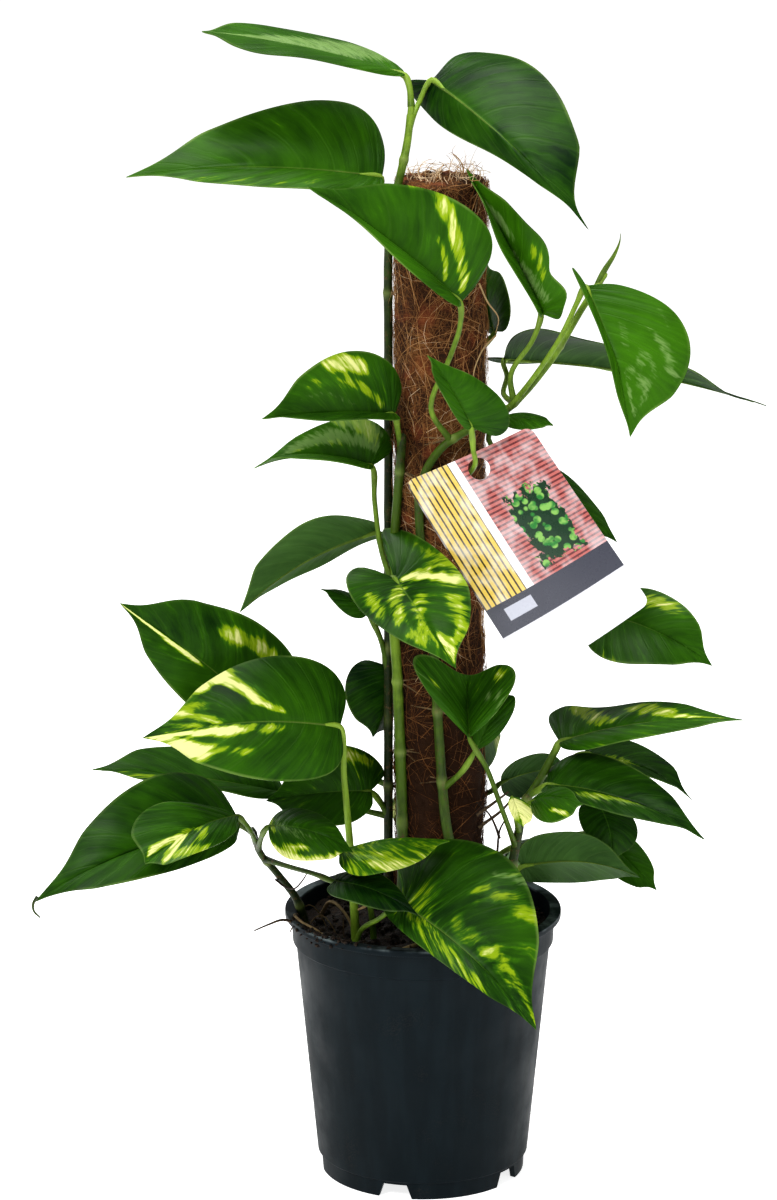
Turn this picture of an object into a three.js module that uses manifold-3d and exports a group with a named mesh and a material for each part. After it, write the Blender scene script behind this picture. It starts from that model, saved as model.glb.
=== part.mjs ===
// A climbing pothos on a coir pole, in a plastic nursery pot, with a printed card hung on one
// leaf stalk. Millimetres, +Z up. The origin is on the ground under the middle of the plant.

import * as THREE from 'three';
import { mergeVertices } from 'three/addons/utils/BufferGeometryUtils.js';
import Module from 'manifold-3d';

const wasm = await Module();
wasm.setup();

// ---- driving dimensions ----

const GAP = 0.3; // clearance wherever two pieces touch

const POT_HEIGHT = 130;
const LIP_RADIUS = 66;
const LIP_THICKNESS = 3.2;
const COLLAR_RADIUS = 62.4;
const COLLAR_HEIGHT = 15;
const COLLAR_STEP = 1.6;
const BODY_FOOT_RADIUS = 50.6;
const WALL = 1.6;
const FOOT_RADIUS = 48.8;
const FOOT_RING = 2.8;
const FOOT_HEIGHT = 8;
const FOOT_NOTCHES = 5;
const FOOT_NOTCH_WIDTH = 14;
const FOOT_NOTCH_TURN = 56; // degrees from the front to the first notch
const DRAIN_RADIUS = 5;
const DRAIN_CIRCLE = 34;
const POT_SIDES = 32;

const SOIL_EDGE = 121; // height of the soil at the wall
const SOIL_CROWN = 125; // height of the soil round the pole
const SOIL_SHOULDER = 18; // from the pole out to where the soil starts to level
const ROOT_DEPTH = 20; // how far a stalk goes down into the soil

const POLE_X = 7.5;
const POLE_RADIUS = 21.4;
const POLE_TOP = 483;
const POLE_SIDES = 20;
const POLE_FOOT = 20; // height of the sleeve's lower end over the pot's floor
const STAKE_RADIUS = 9;
const STAKE_TOP = 470;

const VINE_RADIUS = 2.4;
const VINE_SIDES = 7;
const NEW_LEAF_RADIUS = 1.9;
const STALK_RADIUS = 1.4;
const STALK_SIDES = 5;

const BLADE_THICKNESS = 0.8;
const BLADE_WIDEST = 0.3; // where along the blade its left and right points are given

const CARD_THICKNESS = 0.8;
const CARD_HOLE_RADIUS = 5;
const CARD_BOW = 3;
const CARD_PUNCH = 20; // length of the tool that cuts the card's hole

// ---- materials ----

const plastic = new THREE.MeshStandardMaterial({ color: 0x23292c, roughness: 0.45, metalness: 0 });
const peat = new THREE.MeshStandardMaterial({ color: 0x1d1512, roughness: 1, metalness: 0 });
const coir = new THREE.MeshStandardMaterial({ color: 0x5a3420, roughness: 1, metalness: 0 });
const timber = new THREE.MeshStandardMaterial({ color: 0xb08d5a, roughness: 0.8, metalness: 0 });
const green = new THREE.MeshStandardMaterial({ color: 0x6f9a35, roughness: 0.5, metalness: 0 });
const leafGreen = new THREE.MeshStandardMaterial({ color: 0x23601f, roughness: 0.35, metalness: 0 });
const card = new THREE.MeshStandardMaterial({ color: 0xd8d2cc, roughness: 0.4, metalness: 0 });

const plant = new THREE.Group();

function addPiece(name, shape, material) {
  const mesh = new THREE.Mesh(geometryOf(shape), material.clone());
  mesh.name = name;
  plant.add(mesh);
}

// ---- joining and cutting ----

function solidOf(geometry) {
  const bare = geometry.clone();
  bare.deleteAttribute('normal');
  bare.deleteAttribute('uv');
  const merged = mergeVertices(bare, 1e-4);
  return new wasm.Manifold(
    new wasm.Mesh({
      numProp: 3,
      vertProperties: Float32Array.from(merged.attributes.position.array),
      triVerts: Uint32Array.from(merged.index.array),
    }),
  );
}

function geometryOf(shape) {
  const mesh = shape.getMesh();
  const geometry = new THREE.BufferGeometry();
  geometry.setAttribute('position', new THREE.BufferAttribute(mesh.vertProperties, 3));
  geometry.setIndex(new THREE.BufferAttribute(mesh.triVerts, 1));
  geometry.computeVertexNormals();
  return geometry;
}

// The largest connected piece of a cut shape: scraps left on the far side of a cut are dropped.
function mainPiece(shape) {
  const pieces = shape.decompose();
  return pieces.reduce((best, piece) => (piece.volume() > best.volume() ? piece : best));
}

// ---- basic forms ----

const point = (xyz) => new THREE.Vector3(...xyz);

function ringShape(radius, sides) {
  const corners = [];
  for (let i = 0; i < sides; i += 1) {
    const angle = (2 * Math.PI * i) / sides;
    corners.push(new THREE.Vector2(radius * Math.cos(angle), radius * Math.sin(angle)));
  }
  return new THREE.Shape(corners);
}

function rod(points, radius, sides, steps) {
  const path = new THREE.CatmullRomCurve3(points, false, 'centripetal');
  const shape = ringShape(radius, sides);
  return new THREE.ExtrudeGeometry(shape, { steps, extrudePath: path, bevelEnabled: false });
}

// A shape turned round the Z axis from [radius, height] points.
function turned(profile, sides) {
  const points = profile.map(([radius, height]) => new THREE.Vector2(radius, height));
  return new THREE.LatheGeometry(points, sides).rotateX(Math.PI / 2);
}

function upright(radius, bottom, top, sides, x = 0, y = 0) {
  const geometry = new THREE.CylinderGeometry(radius, radius, top - bottom, sides);
  return geometry.rotateX(Math.PI / 2).translate(x, y, (top + bottom) / 2);
}

// ---- vines ----

// A point beside the pole: degrees round it from the front towards +X, height and lift off it.
function onPole([degrees, height, lift = 0]) {
  const angle = THREE.MathUtils.degToRad(degrees);
  const reach = POLE_RADIUS + GAP + VINE_RADIUS + lift;
  return new THREE.Vector3(POLE_X + reach * Math.sin(angle), -reach * Math.cos(angle), height);
}

const VINES = {
  vine_left: {
    steps: 16,
    points: [
      [-46, 104], [-46, 165], [-50, 212], [-56, 250], [-65, 280], [-60, 318], [-50, 352],
    ]
      .map(onPole)
      .concat([point([-10, -21, 366])]),
  },
  vine_front: {
    steps: 26,
    points: [
      [14, 104], [14, 161], [6, 184], [-3, 236], [-8, 270], [-18, 300], [-22, 342],
      [0, 360, 1], [28, 368, 1.5],
    ]
      .map(onPole)
      .concat([[38, -14, 376], [57, -12, 397], [74, -6, 424], [84, -2, 438]].map(point)),
    newLeaf: { root: [80, -3.4, 432], tip: [93, 2, 458] },
  },
  vine_tall: {
    steps: 26,
    points: [
      [-88, 104], [-90, 160], [-93, 215], [-95, 300], [-93, 400], [-88, 446], [-72, 468],
      [-52, 484],
    ]
      .map(onPole)
      .concat([[-8, -12, 500], [-6, -9, 517]].map(point)),
  },
  vine_back: {
    steps: 16,
    points: [[150, 104], [152, 160], [156, 230], [148, 300], [150, 370], [142, 425]].map(onPole),
  },
  shoot_left: {
    steps: 10,
    points: [
      [-54, -6, 104], [-56, -6, 122], [-60, -8, 136], [-69, -14, 151], [-77, -27, 166],
      [-80, -40, 182],
    ].map(point),
  },
  shoot_right: {
    steps: 12,
    points: [
      [37, -14, 104], [38, -15, 128], [41, -17, 150], [45, -19, 174], [47, -20, 187],
      [54, -19, 198], [61, -17, 211],
    ].map(point),
  },
};

// The rolled leaf that a shoot ends in: a long cone with its root sunk in the shoot.
function rolledLeaf(newLeaf) {
  const root = point(newLeaf.root);
  const tip = point(newLeaf.tip);
  const axis = tip.clone().sub(root);
  const coneAxis = new THREE.Vector3(0, 1, 0);
  const turn = new THREE.Quaternion().setFromUnitVectors(coneAxis, axis.clone().normalize());
  const cone = new THREE.ConeGeometry(NEW_LEAF_RADIUS, axis.length(), VINE_SIDES);
  cone.applyQuaternion(turn);
  return solidOf(cone.translate(...root.add(tip).multiplyScalar(0.5)));
}

for (const vine of Object.values(VINES)) {
  vine.solid = solidOf(rod(vine.points, VINE_RADIUS, VINE_SIDES, vine.steps));
  if (vine.newLeaf) vine.solid = vine.solid.add(rolledLeaf(vine.newLeaf));
  vine.clearance = solidOf(rod(vine.points, VINE_RADIUS + GAP, VINE_SIDES, vine.steps));
  vine.path = new THREE.CatmullRomCurve3(vine.points, false, 'centripetal');
}

// The point on a vine's centre line at a height.
function onVine(vine, height) {
  const samples = vine.path.getPoints(200);
  return samples.reduce((best, sample) =>
    Math.abs(sample.z - height) < Math.abs(best.z - height) ? sample : best,
  );
}

// ---- leaves ----

// One half of the heart-shaped outline, from the sinus round the basal lobe to the tip. A station
// gives where its vein leaves the midrib, where it ends along the blade, how far the lobe pulls
// that end back and how far across it is, as fractions of the blade.
const OUTLINE = [
  [0, 0, 0, 0],
  [0.01, 0.03, 1.1, 0.42],
  [0.04, 0.08, 0.9, 0.76],
  [0.13, 0.17, 0.3, 0.96],
  [0.27, 0.33, 0, 1],
  [0.44, 0.52, 0, 0.89],
  [0.63, 0.71, 0, 0.64],
  [0.82, 0.88, 0, 0.3],
  [1, 1, 0, 0],
];
const VEIN_STEPS = [0.55, 1];
const SMALL_BLADE = 80; // shorter blades take their veins in one step

// Each leaf: base is where the stalk meets the blade, and left and right are margin points at the
// widest place, seen on the upper face with the tip up. Arch lifts the midrib, cup rounds each
// half and hook bends the tip down, in millimetres but for cup, a share of the half's width. Lobe
// and taper are for the left and the right half, and fore moves the widest place to the tip.
const LEAVES = [
  {
    name: 'leaf_top_young',
    base: [-9, -4, 530], tip: [-101, -14, 551], left: [-38, -24, 536], right: [-40, 12, 544],
    arch: 3, lobe: [0.02, 0.02], fore: 0.12, taper: [-1.2, -0.3], cup: 0.08,
    from: 'vine_tall', at: 516, via: [[-7, -6, 525]],
  },
  {
    name: 'leaf_top_right',
    base: [3, 8, 526], tip: [73, -52, 469], left: [49, 10, 532], right: [16, -10, 503],
    arch: 9, lobe: [0.03, 0.12], hook: 4, taper: [-0.2, 1.1],
    from: 'vine_tall', at: 507, via: [[-3, 4, 515]],
  },
  {
    name: 'leaf_top_left',
    base: [-20, -16, 485], tip: [-134, -46, 491], left: [-52, -40, 483], right: [-50, 2, 517],
    arch: 6, lobe: [0.03, 0.03], hook: 2, taper: [0.15, 0.3],
    from: 'vine_tall', at: 456, via: [[-19, -4, 469], [-20, -12, 478]],
  },
  {
    name: 'leaf_pole_front',
    base: [16, -42, 432], tip: [-53, -50, 486], left: [-17, -66, 460], right: [21, -34, 472],
    arch: 5, lobe: [0.1, 0.02],
    from: 'vine_front', at: 364, via: [[3, -30, 380], [12, -38, 407], [16, -41, 421]],
  },
  {
    name: 'leaf_pole_right',
    base: [54, -6, 420], tip: [19, -12, 488], left: [37, -28, 451], right: [57, -24, 449],
    arch: 5, lobe: [0.1, 0.1],
    from: 'vine_front', at: 379, via: [[40, -14, 393], [50, -10, 408]],
  },
  {
    name: 'leaf_back_small',
    base: [33, 22, 406], tip: [30, 36, 435], left: [24, 34, 418], right: [39, 10, 426],
    arch: 2, lobe: [0.12, 0.12],
    from: 'vine_back', at: 396, via: [[28, 24, 399]],
  },
  {
    name: 'leaf_right_high',
    base: [74, -14, 434], tip: [94, -40, 369], left: [120, -20, 413], right: [79, -34, 418],
    arch: 7, lobe: [0.05, 0.16], taper: [0, -0.3],
    from: 'vine_front', at: 378, via: [[49, -17, 390], [62, -18, 410], [70, -14, 426]],
  },
  {
    name: 'leaf_right_long',
    base: [38, 30, 391], tip: [165, 70, 360], left: [81, 58, 381], right: [75, 8, 406],
    arch: 5, lobe: [0.1, 0.02], taper: [1, 1],
    from: 'vine_front', at: 379, via: [[37, 4, 380], [39, 20, 385]],
  },
  {
    name: 'leaf_over_tag',
    base: [21, -58, 378], tip: [1, -60, 411], left: [9, -66, 392], right: [36, -52, 387],
    arch: 3, lobe: [0.1, 0.16],
    from: 'vine_front', at: 336, via: [[17, -31, 347], [23, -44, 357], [22, -53, 366]],
  },
  {
    name: 'leaf_tag_top',
    base: [36, -22, 374], tip: [59, -34, 373], left: [48, -16, 375], right: [45, -42, 373],
    arch: 2, lobe: [0.05, 0.05],
    from: 'vine_front', at: 377, via: [[33, -20, 376]],
  },
  {
    name: 'leaf_left_high',
    base: [-14, -28, 377], tip: [-74, -52, 380], left: [-34, -54, 380], right: [-33, -30, 407],
    arch: 4, lobe: [0.1, 0.1], taper: [0, 0.1],
    from: 'vine_left', at: 358, via: [[-12, -22, 367]],
  },
  {
    name: 'leaf_left_high_low',
    base: [-24, -12, 349], tip: [-78, -24, 353], left: [-47, -38, 358], right: [-35, -8, 371],
    arch: 5, lobe: [0.08, 0.14], hook: 3, taper: [0, 0.6],
    from: 'vine_left', at: 290, via: [[-20, -14, 310], [-23, -13, 333]],
  },
  {
    name: 'leaf_left_mid',
    base: [-22, 6, 313], tip: [-86, -12, 279], left: [-54, -14, 322], right: [-39, 18, 299],
    arch: 6, lobe: [0.06, 0.06], taper: [-0.3, 0],
    from: 'vine_tall', at: 302, via: [[-20, 5, 307]],
  },
  {
    name: 'leaf_centre',
    base: [-14, -53, 306], tip: [14, -87, 272], left: [18, -65, 308], right: [-31, -65, 296],
    arch: 6, lobe: [0.7, 0.22], taper: [0.1, 0],
    from: 'vine_left', at: 282, via: [[-17, -31, 293]],
  },
  {
    name: 'leaf_centre_behind',
    base: [-26, -6, 277], tip: [-48, -12, 290], left: [-38, -14, 280], right: [-32, 2, 283],
    arch: 2, lobe: [0.05, 0.05], taper: [0.5, 0.5],
    from: 'vine_tall', at: 247, via: [[-20, 0, 262], [-24, -3, 272]],
  },
  {
    name: 'leaf_left_far',
    base: [-71, -14, 225], tip: [-140, -46, 292], left: [-104, -44, 238], right: [-70, -6, 266],
    arch: 6, lobe: [0.04, 0.04], taper: [-0.1, -0.15],
    from: 'vine_tall', at: 190, via: [[-35, 14, 195], [-56, 4, 211]],
  },
  {
    name: 'leaf_left_large',
    base: [-39, -50, 234], tip: [-129, -72, 235], left: [-66, -80, 217], right: [-66, -34, 264],
    arch: 10, lobe: [0.06, 0.06], taper: [0, 0.15],
    from: 'soil', at: [-31, -26], via: [[-32, -28, 125], [-34, -38, 166], [-37, -48, 208]],
  },
  {
    name: 'leaf_left_narrow',
    base: [-67, -4, 188], tip: [-155, -32, 208], left: [-99, -30, 197], right: [-100, 8, 207],
    arch: 3, lobe: [0.04, 0.04],
    from: 'vine_tall', at: 175, via: [[-37, 4, 179], [-56, -2, 185]],
  },
  {
    name: 'leaf_left_low',
    base: [-86, -40, 184], tip: [-175, -118, 174], left: [-110, -90, 179], right: [-123, -48, 210],
    arch: 10, lobe: [0.02, 0.02], hook: 4, taper: [-0.4, 0.12],
    from: 'shoot_left', at: 178, via: [[-83, -40, 182]],
  },
  {
    name: 'leaf_left_low_small',
    base: [-86, -66, 196], tip: [-126, -120, 190], left: [-95, -108, 195], right: [-118, -84, 208],
    arch: 6, lobe: [0.02, 0.02], fore: 0.1, taper: [0, -0.4],
    from: 'shoot_left', at: 173, via: [[-81, -52, 185], [-85, -63, 194]],
  },
  {
    name: 'leaf_left_inner',
    base: [-25, -7, 190], tip: [-74, -26, 191], left: [-44, -34, 181], right: [-42, -6, 212],
    arch: 4, lobe: [0.08, 0.2],
    from: 'vine_tall', at: 176, via: [[-20, -1, 182]],
  },
  {
    name: 'leaf_low_left',
    base: [-72, -56, 188], tip: [-33, -68, 179], left: [-56, -44, 193], right: [-58, -80, 179],
    arch: 5, lobe: [0.02, 0.02],
    from: 'shoot_left', at: 168, via: [[-76, -44, 178], [-74, -53, 185]],
  },
  {
    name: 'leaf_low_mid',
    base: [-39, -58, 176], tip: [12, -54, 180], left: [-21, -44, 176], right: [-19, -78, 172],
    arch: 3, lobe: [0.06, 0.06],
    from: 'soil', at: [-23, -26], via: [[-24, -30, 131], [-27, -40, 154], [-31, -50, 169]],
  },
  {
    name: 'leaf_low_front',
    base: [-11, -62, 152], tip: [51, -106, 106], left: [38, -50, 171], right: [0, -86, 138],
    arch: 12, lobe: [0.2, 0.08],
    from: 'soil', at: [-32, -38], via: [[-30, -44, 132], [-21, -54, 142]],
  },
  {
    name: 'leaf_low_right',
    base: [47, 2, 150], tip: [103, -16, 150], left: [69, 20, 136], right: [65, -10, 171],
    arch: 6, lobe: [0.06, 0.06],
    from: 'soil', at: [30, -2], via: [[33, 0, 131], [41, 2, 143]],
  },
  {
    name: 'leaf_right_tip',
    base: [84, 24, 159], tip: [112, 4, 137], left: [103, 20, 156], right: [90, 10, 144],
    arch: 3, lobe: [0.06, 0.06],
    from: 'soil', at: [33, 22], via: [[36, 25, 135], [61, 28, 154]],
  },
  {
    name: 'leaf_right_hang',
    base: [84, 6, 179], tip: [90, -6, 154], left: [102, 6, 169], right: [75, -4, 172],
    arch: 5, lobe: [0.1, 0.1],
    from: 'shoot_right', at: 189, via: [[53, -4, 181], [70, 2, 183]],
  },
  {
    name: 'leaf_right_upper',
    base: [64, -16, 217], tip: [148, -42, 235], left: [84, 2, 232], right: [91, -38, 223],
    arch: 5, lobe: [0.04, 0.03], taper: [0.05, 0],
    from: 'shoot_right', at: 209, via: [[62, -17, 213]],
  },
  {
    name: 'leaf_right_under',
    base: [77, 10, 204], tip: [128, -10, 188], left: [101, 20, 206], right: [95, -6, 201],
    arch: 4, lobe: [0.06, 0.06], hook: 2,
    from: 'shoot_right', at: 202, via: [[66, -2, 202]],
  },
  {
    name: 'leaf_right_lower',
    base: [58, -26, 199], tip: [130, -58, 182], left: [88, -20, 210], right: [79, -56, 197],
    arch: 7, lobe: [0.06, 0.06], taper: [0.15, 0],
    from: 'shoot_right', at: 192, via: [[55, -23, 196]],
  },
  {
    name: 'leaf_right_small',
    base: [50, -46, 197], tip: [73, -68, 202], left: [61, -50, 205], right: [60, -76, 196],
    arch: 4, lobe: [0.1, 0.1],
    from: 'shoot_right', at: 179, via: [[47, -34, 189]],
  },
  {
    name: 'leaf_pale_tip',
    base: [41, -46, 199], tip: [46, -52, 186], left: [50, -48, 193], right: [40, -50, 193],
    arch: 1, lobe: [0.05, 0.05],
    from: 'shoot_right', at: 173, via: [[43, -34, 186]],
  },
  {
    name: 'leaf_butterfly',
    base: [21, -44, 227], tip: [20, -32, 254], left: [-5, -46, 264], right: [42, -46, 258],
    arch: -3, lobe: [0.04, 0.04],
    from: 'shoot_right', at: 167, via: [[36, -34, 191], [29, -42, 212]],
  },
  {
    name: 'leaf_behind_butterfly',
    base: [24, -28, 216], tip: [39, -24, 244], left: [26, -24, 236], right: [41, -30, 234],
    arch: 2, lobe: [0.06, 0.06],
    from: 'vine_front', at: 196, via: [[18, -28, 206]],
  },
  {
    name: 'leaf_left_dark',
    base: [-18, 14, 246], tip: [-24, 2, 214], left: [-13, 24, 224], right: [-37, 4, 237],
    arch: 4, lobe: [0.1, 0.1],
    from: 'vine_tall', at: 261, via: [[-18, 11, 253]],
  },
  {
    name: 'leaf_tag_right',
    base: [84, 4, 274], tip: [135, -16, 254], left: [113, 4, 284], right: [91, -28, 259],
    arch: 6, lobe: [0.08, 0.08], taper: [0, 0.5],
    from: 'vine_back', at: 270, via: [[36, 22, 277], [65, 12, 278]],
  },
  {
    name: 'leaf_tag_behind',
    base: [46, -14, 349], tip: [89, -30, 317], left: [68, -8, 342], right: [56, -24, 330],
    arch: 4, lobe: [0.06, 0.06],
    from: 'vine_front', at: 374, via: [[30, -12, 361]],
  },
  {
    name: 'leaf_mid_behind',
    base: [37, 8, 190], tip: [71, 14, 195], left: [52, 22, 179], right: [50, 6, 204],
    arch: 3, lobe: [0.06, 0.06],
    from: 'vine_back', at: 175, via: [[32, 18, 182]],
  },
  {
    name: 'leaf_low_dark',
    base: [-41, -62, 163], tip: [-3, -82, 153], left: [-24, -58, 166], right: [-33, -84, 160],
    arch: 4, lobe: [0.08, 0.08],
    from: 'shoot_left', at: 161, via: [[-63, -40, 163], [-50, -55, 164]],
  },
  {
    name: 'leaf_rear_top',
    base: [13, 34, 437], tip: [12, 74, 388], left: [1, 64, 409], right: [23, 52, 414],
    arch: 8, lobe: [0.08, 0.08],
    from: 'vine_back', at: 420, via: [[15, 30, 431]],
  },
  {
    name: 'leaf_rear_high',
    base: [8, 34, 356], tip: [-9, 117, 328], left: [-14, 64, 349], right: [14, 72, 339],
    arch: 12, lobe: [0.1, 0.1],
    from: 'vine_back', at: 339, via: [[11, 31, 349]],
  },
  {
    name: 'leaf_rear_mid',
    base: [26, 32, 303], tip: [36, 82, 254], left: [19, 70, 270], right: [43, 54, 281],
    arch: 9, lobe: [0.1, 0.1],
    from: 'vine_back', at: 281, via: [[25, 28, 294]],
  },
  {
    name: 'leaf_rear_left',
    base: [-1, 36, 262], tip: [-11, 121, 217], left: [-18, 74, 242], right: [8, 80, 235],
    arch: 13, lobe: [0.1, 0.1],
    from: 'vine_back', at: 246, via: [[10, 32, 257]],
  },
  {
    name: 'leaf_rear_right',
    base: [29, 36, 212], tip: [29, 102, 159], left: [14, 76, 185], right: [38, 64, 194],
    arch: 9, lobe: [0.1, 0.1],
    from: 'vine_back', at: 187, via: [[28, 30, 202]],
  },
  {
    name: 'leaf_rear_low',
    base: [4, 40, 186], tip: [-5, 92, 134], left: [-15, 80, 157], right: [12, 70, 162],
    arch: 10, lobe: [0.1, 0.1],
    from: 'vine_back', at: 156, via: [[12, 36, 172]],
  },
  {
    name: 'leaf_rear_low_right',
    base: [44, 40, 148], tip: [68, 119, 109], left: [42, 84, 123], right: [69, 72, 138],
    arch: 8, lobe: [0.08, 0.08],
    from: 'soil', at: [23, 26], via: [[27, 30, 132], [36, 36, 144]],
  },
];

function bladeFrame(leaf) {
  const base = point(leaf.base);
  const axis = point(leaf.tip).sub(base);
  const left = point(leaf.left);
  const right = point(leaf.right);
  const up = right.clone().sub(left).cross(axis).normalize();
  const spine = (along) => {
    const bend = leaf.arch * 4 * along * (1 - along);
    const curl = (leaf.hook ?? 0) * Math.max(0, (along - 0.7) / 0.3) ** 2;
    return base.clone().addScaledVector(axis, along).addScaledVector(up, bend - curl);
  };
  const widest = spine(BLADE_WIDEST);
  const halves = [left.sub(widest), right.sub(widest)];
  return { axis, up, spine, halves };
}

// The place on a half blade, `across` of the way along the vein that a station starts.
function bladePoint(leaf, frame, side, station, across) {
  const [rib, along, pull, out] = OUTLINE[station];
  const fore = (leaf.fore ?? 0) * 4 * along * (1 - along);
  const reach = along + fore - pull * leaf.lobe[side];
  const slim = 1 - (leaf.taper?.[side] ?? 0) * (along - BLADE_WIDEST);
  const half = frame.halves[side];
  const start = frame.spine(rib);
  const end = frame.spine(reach).addScaledVector(half, out * slim);
  const swell = half.clone().cross(frame.axis).normalize();
  swell.multiplyScalar(Math.sign(swell.dot(frame.up)));
  const cup = (leaf.cup ?? 0.06) * half.length() * out * 4 * across * (1 - across);
  return start.lerp(end, across).addScaledVector(swell, cup);
}

function bladeSolid(leaf) {
  const frame = bladeFrame(leaf);
  const last = OUTLINE.length - 1;
  const veinSteps = frame.axis.length() < SMALL_BLADE ? [1] : VEIN_STEPS;
  const places = [];
  const ribs = OUTLINE.map(([rib]) => places.push(frame.spine(rib)) - 1);
  const faces = [];
  const rim = [];
  for (const side of [0, 1]) {
    const rows = OUTLINE.map((_, station) => {
      if (station === 0 || station === last) return [ribs[station]];
      const row = veinSteps.map((across) => bladePoint(leaf, frame, side, station, across));
      return [ribs[station], ...row.map((place) => places.push(place) - 1)];
    });
    const add = (a, b, c) => faces.push(side === 1 ? [a, c, b] : [a, b, c]);
    for (let station = 0; station < last; station += 1) {
      const near = rows[station];
      const far = rows[station + 1];
      for (let i = 0; i + 1 < Math.max(near.length, far.length); i += 1) {
        if (near.length === 1) add(near[0], far[i], far[i + 1]);
        else if (far.length === 1) add(near[i], far[0], near[i + 1]);
        else {
          add(near[i], far[i], far[i + 1]);
          add(near[i], far[i + 1], near[i + 1]);
        }
      }
      const edge = [near[near.length - 1], far[far.length - 1]];
      rim.push(side === 1 ? edge.reverse() : edge);
    }
  }
  return thickened(places, faces, rim, BLADE_THICKNESS);
}

// A closed sheet: the faces once on each side, split alike, and the rim between them.
function thickened(places, faces, rim, thickness) {
  const normals = places.map(() => new THREE.Vector3());
  for (const [a, b, c] of faces) {
    const toB = places[b].clone().sub(places[a]);
    const normal = toB.cross(places[c].clone().sub(places[a]));
    for (const corner of [a, b, c]) normals[corner].add(normal);
  }
  const positions = [];
  for (const offset of [thickness / 2, -thickness / 2]) {
    places.forEach((place, i) => {
      positions.push(...place.clone().addScaledVector(normals[i].normalize(), offset));
    });
  }
  const under = places.length;
  const index = [];
  for (const [a, b, c] of faces) {
    index.push(a, b, c);
    index.push(a + under, c + under, b + under);
  }
  for (const [a, b] of rim) {
    index.push(a, b, b + under);
    index.push(a, b + under, a + under);
  }
  const geometry = new THREE.BufferGeometry();
  geometry.setAttribute('position', new THREE.Float32BufferAttribute(positions, 3));
  geometry.setIndex(index);
  return solidOf(geometry);
}

// The stalk runs from its vine, or from under the soil, to a little way along the midrib.
function stalkPoints(leaf) {
  const frame = bladeFrame(leaf);
  const keel = frame.spine(0.1).addScaledVector(frame.up, -0.7);
  const foot = leaf.from === 'soil'
    ? new THREE.Vector3(leaf.at[0], leaf.at[1], SOIL_EDGE - ROOT_DEPTH)
    : onVine(VINES[leaf.from], leaf.at);
  return [foot, ...leaf.via.map(point), frame.spine(0).addScaledVector(frame.up, -0.5), keel];
}

const inSoil = [];

for (const leaf of LEAVES) {
  const points = stalkPoints(leaf);
  const steps = points.length;
  const stalk = solidOf(rod(points, STALK_RADIUS, STALK_SIDES, steps));
  leaf.solid = bladeSolid(leaf).add(stalk);
  if (leaf.from === 'soil') {
    inSoil.push(solidOf(rod(points, STALK_RADIUS + GAP, STALK_SIDES, steps)));
  } else {
    leaf.solid = mainPiece(leaf.solid.subtract(VINES[leaf.from].clearance));
  }
}
for (const vine of Object.values(VINES)) inSoil.push(vine.clearance);

// ---- pot ----

function potSolid() {
  const collarBottom = POT_HEIGHT - COLLAR_HEIGHT;
  const wallTop = COLLAR_RADIUS - COLLAR_STEP;
  const outer = [
    [0, FOOT_HEIGHT],
    [FOOT_RADIUS - FOOT_RING, FOOT_HEIGHT],
    [FOOT_RADIUS - FOOT_RING, 0],
    [FOOT_RADIUS, 0],
    [FOOT_RADIUS + 0.3, FOOT_HEIGHT],
    [BODY_FOOT_RADIUS, FOOT_HEIGHT + 1],
    [wallTop, collarBottom - 1],
    [COLLAR_RADIUS, collarBottom],
    [COLLAR_RADIUS + 0.4, POT_HEIGHT - LIP_THICKNESS],
    [LIP_RADIUS - 0.6, POT_HEIGHT - LIP_THICKNESS],
    [LIP_RADIUS, POT_HEIGHT - LIP_THICKNESS + 0.8],
    [LIP_RADIUS, POT_HEIGHT - 0.8],
    [LIP_RADIUS - 0.8, POT_HEIGHT],
    [COLLAR_RADIUS - WALL + 0.6, POT_HEIGHT],
    [COLLAR_RADIUS - WALL, POT_HEIGHT - 1],
    [COLLAR_RADIUS - WALL - 0.2, collarBottom],
    [wallTop - WALL, collarBottom - 1.6],
    [BODY_FOOT_RADIUS - WALL, FOOT_HEIGHT + WALL],
    [0, FOOT_HEIGHT + WALL],
  ];
  let pot = solidOf(turned(outer, POT_SIDES));
  for (let i = 0; i < FOOT_NOTCHES; i += 1) {
    const turn = THREE.MathUtils.degToRad(FOOT_NOTCH_TURN + (360 * i) / FOOT_NOTCHES);
    const notch = new THREE.BoxGeometry(FOOT_NOTCH_WIDTH, 12, FOOT_HEIGHT);
    notch.translate(0, -FOOT_RADIUS, FOOT_HEIGHT / 2 - 1).rotateZ(turn);
    const drain = upright(DRAIN_RADIUS, 0, FOOT_HEIGHT + 2 * WALL, 12, 0, -DRAIN_CIRCLE).rotateZ(turn);
    pot = pot.subtract(solidOf(notch)).subtract(solidOf(drain));
  }
  return pot;
}

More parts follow.
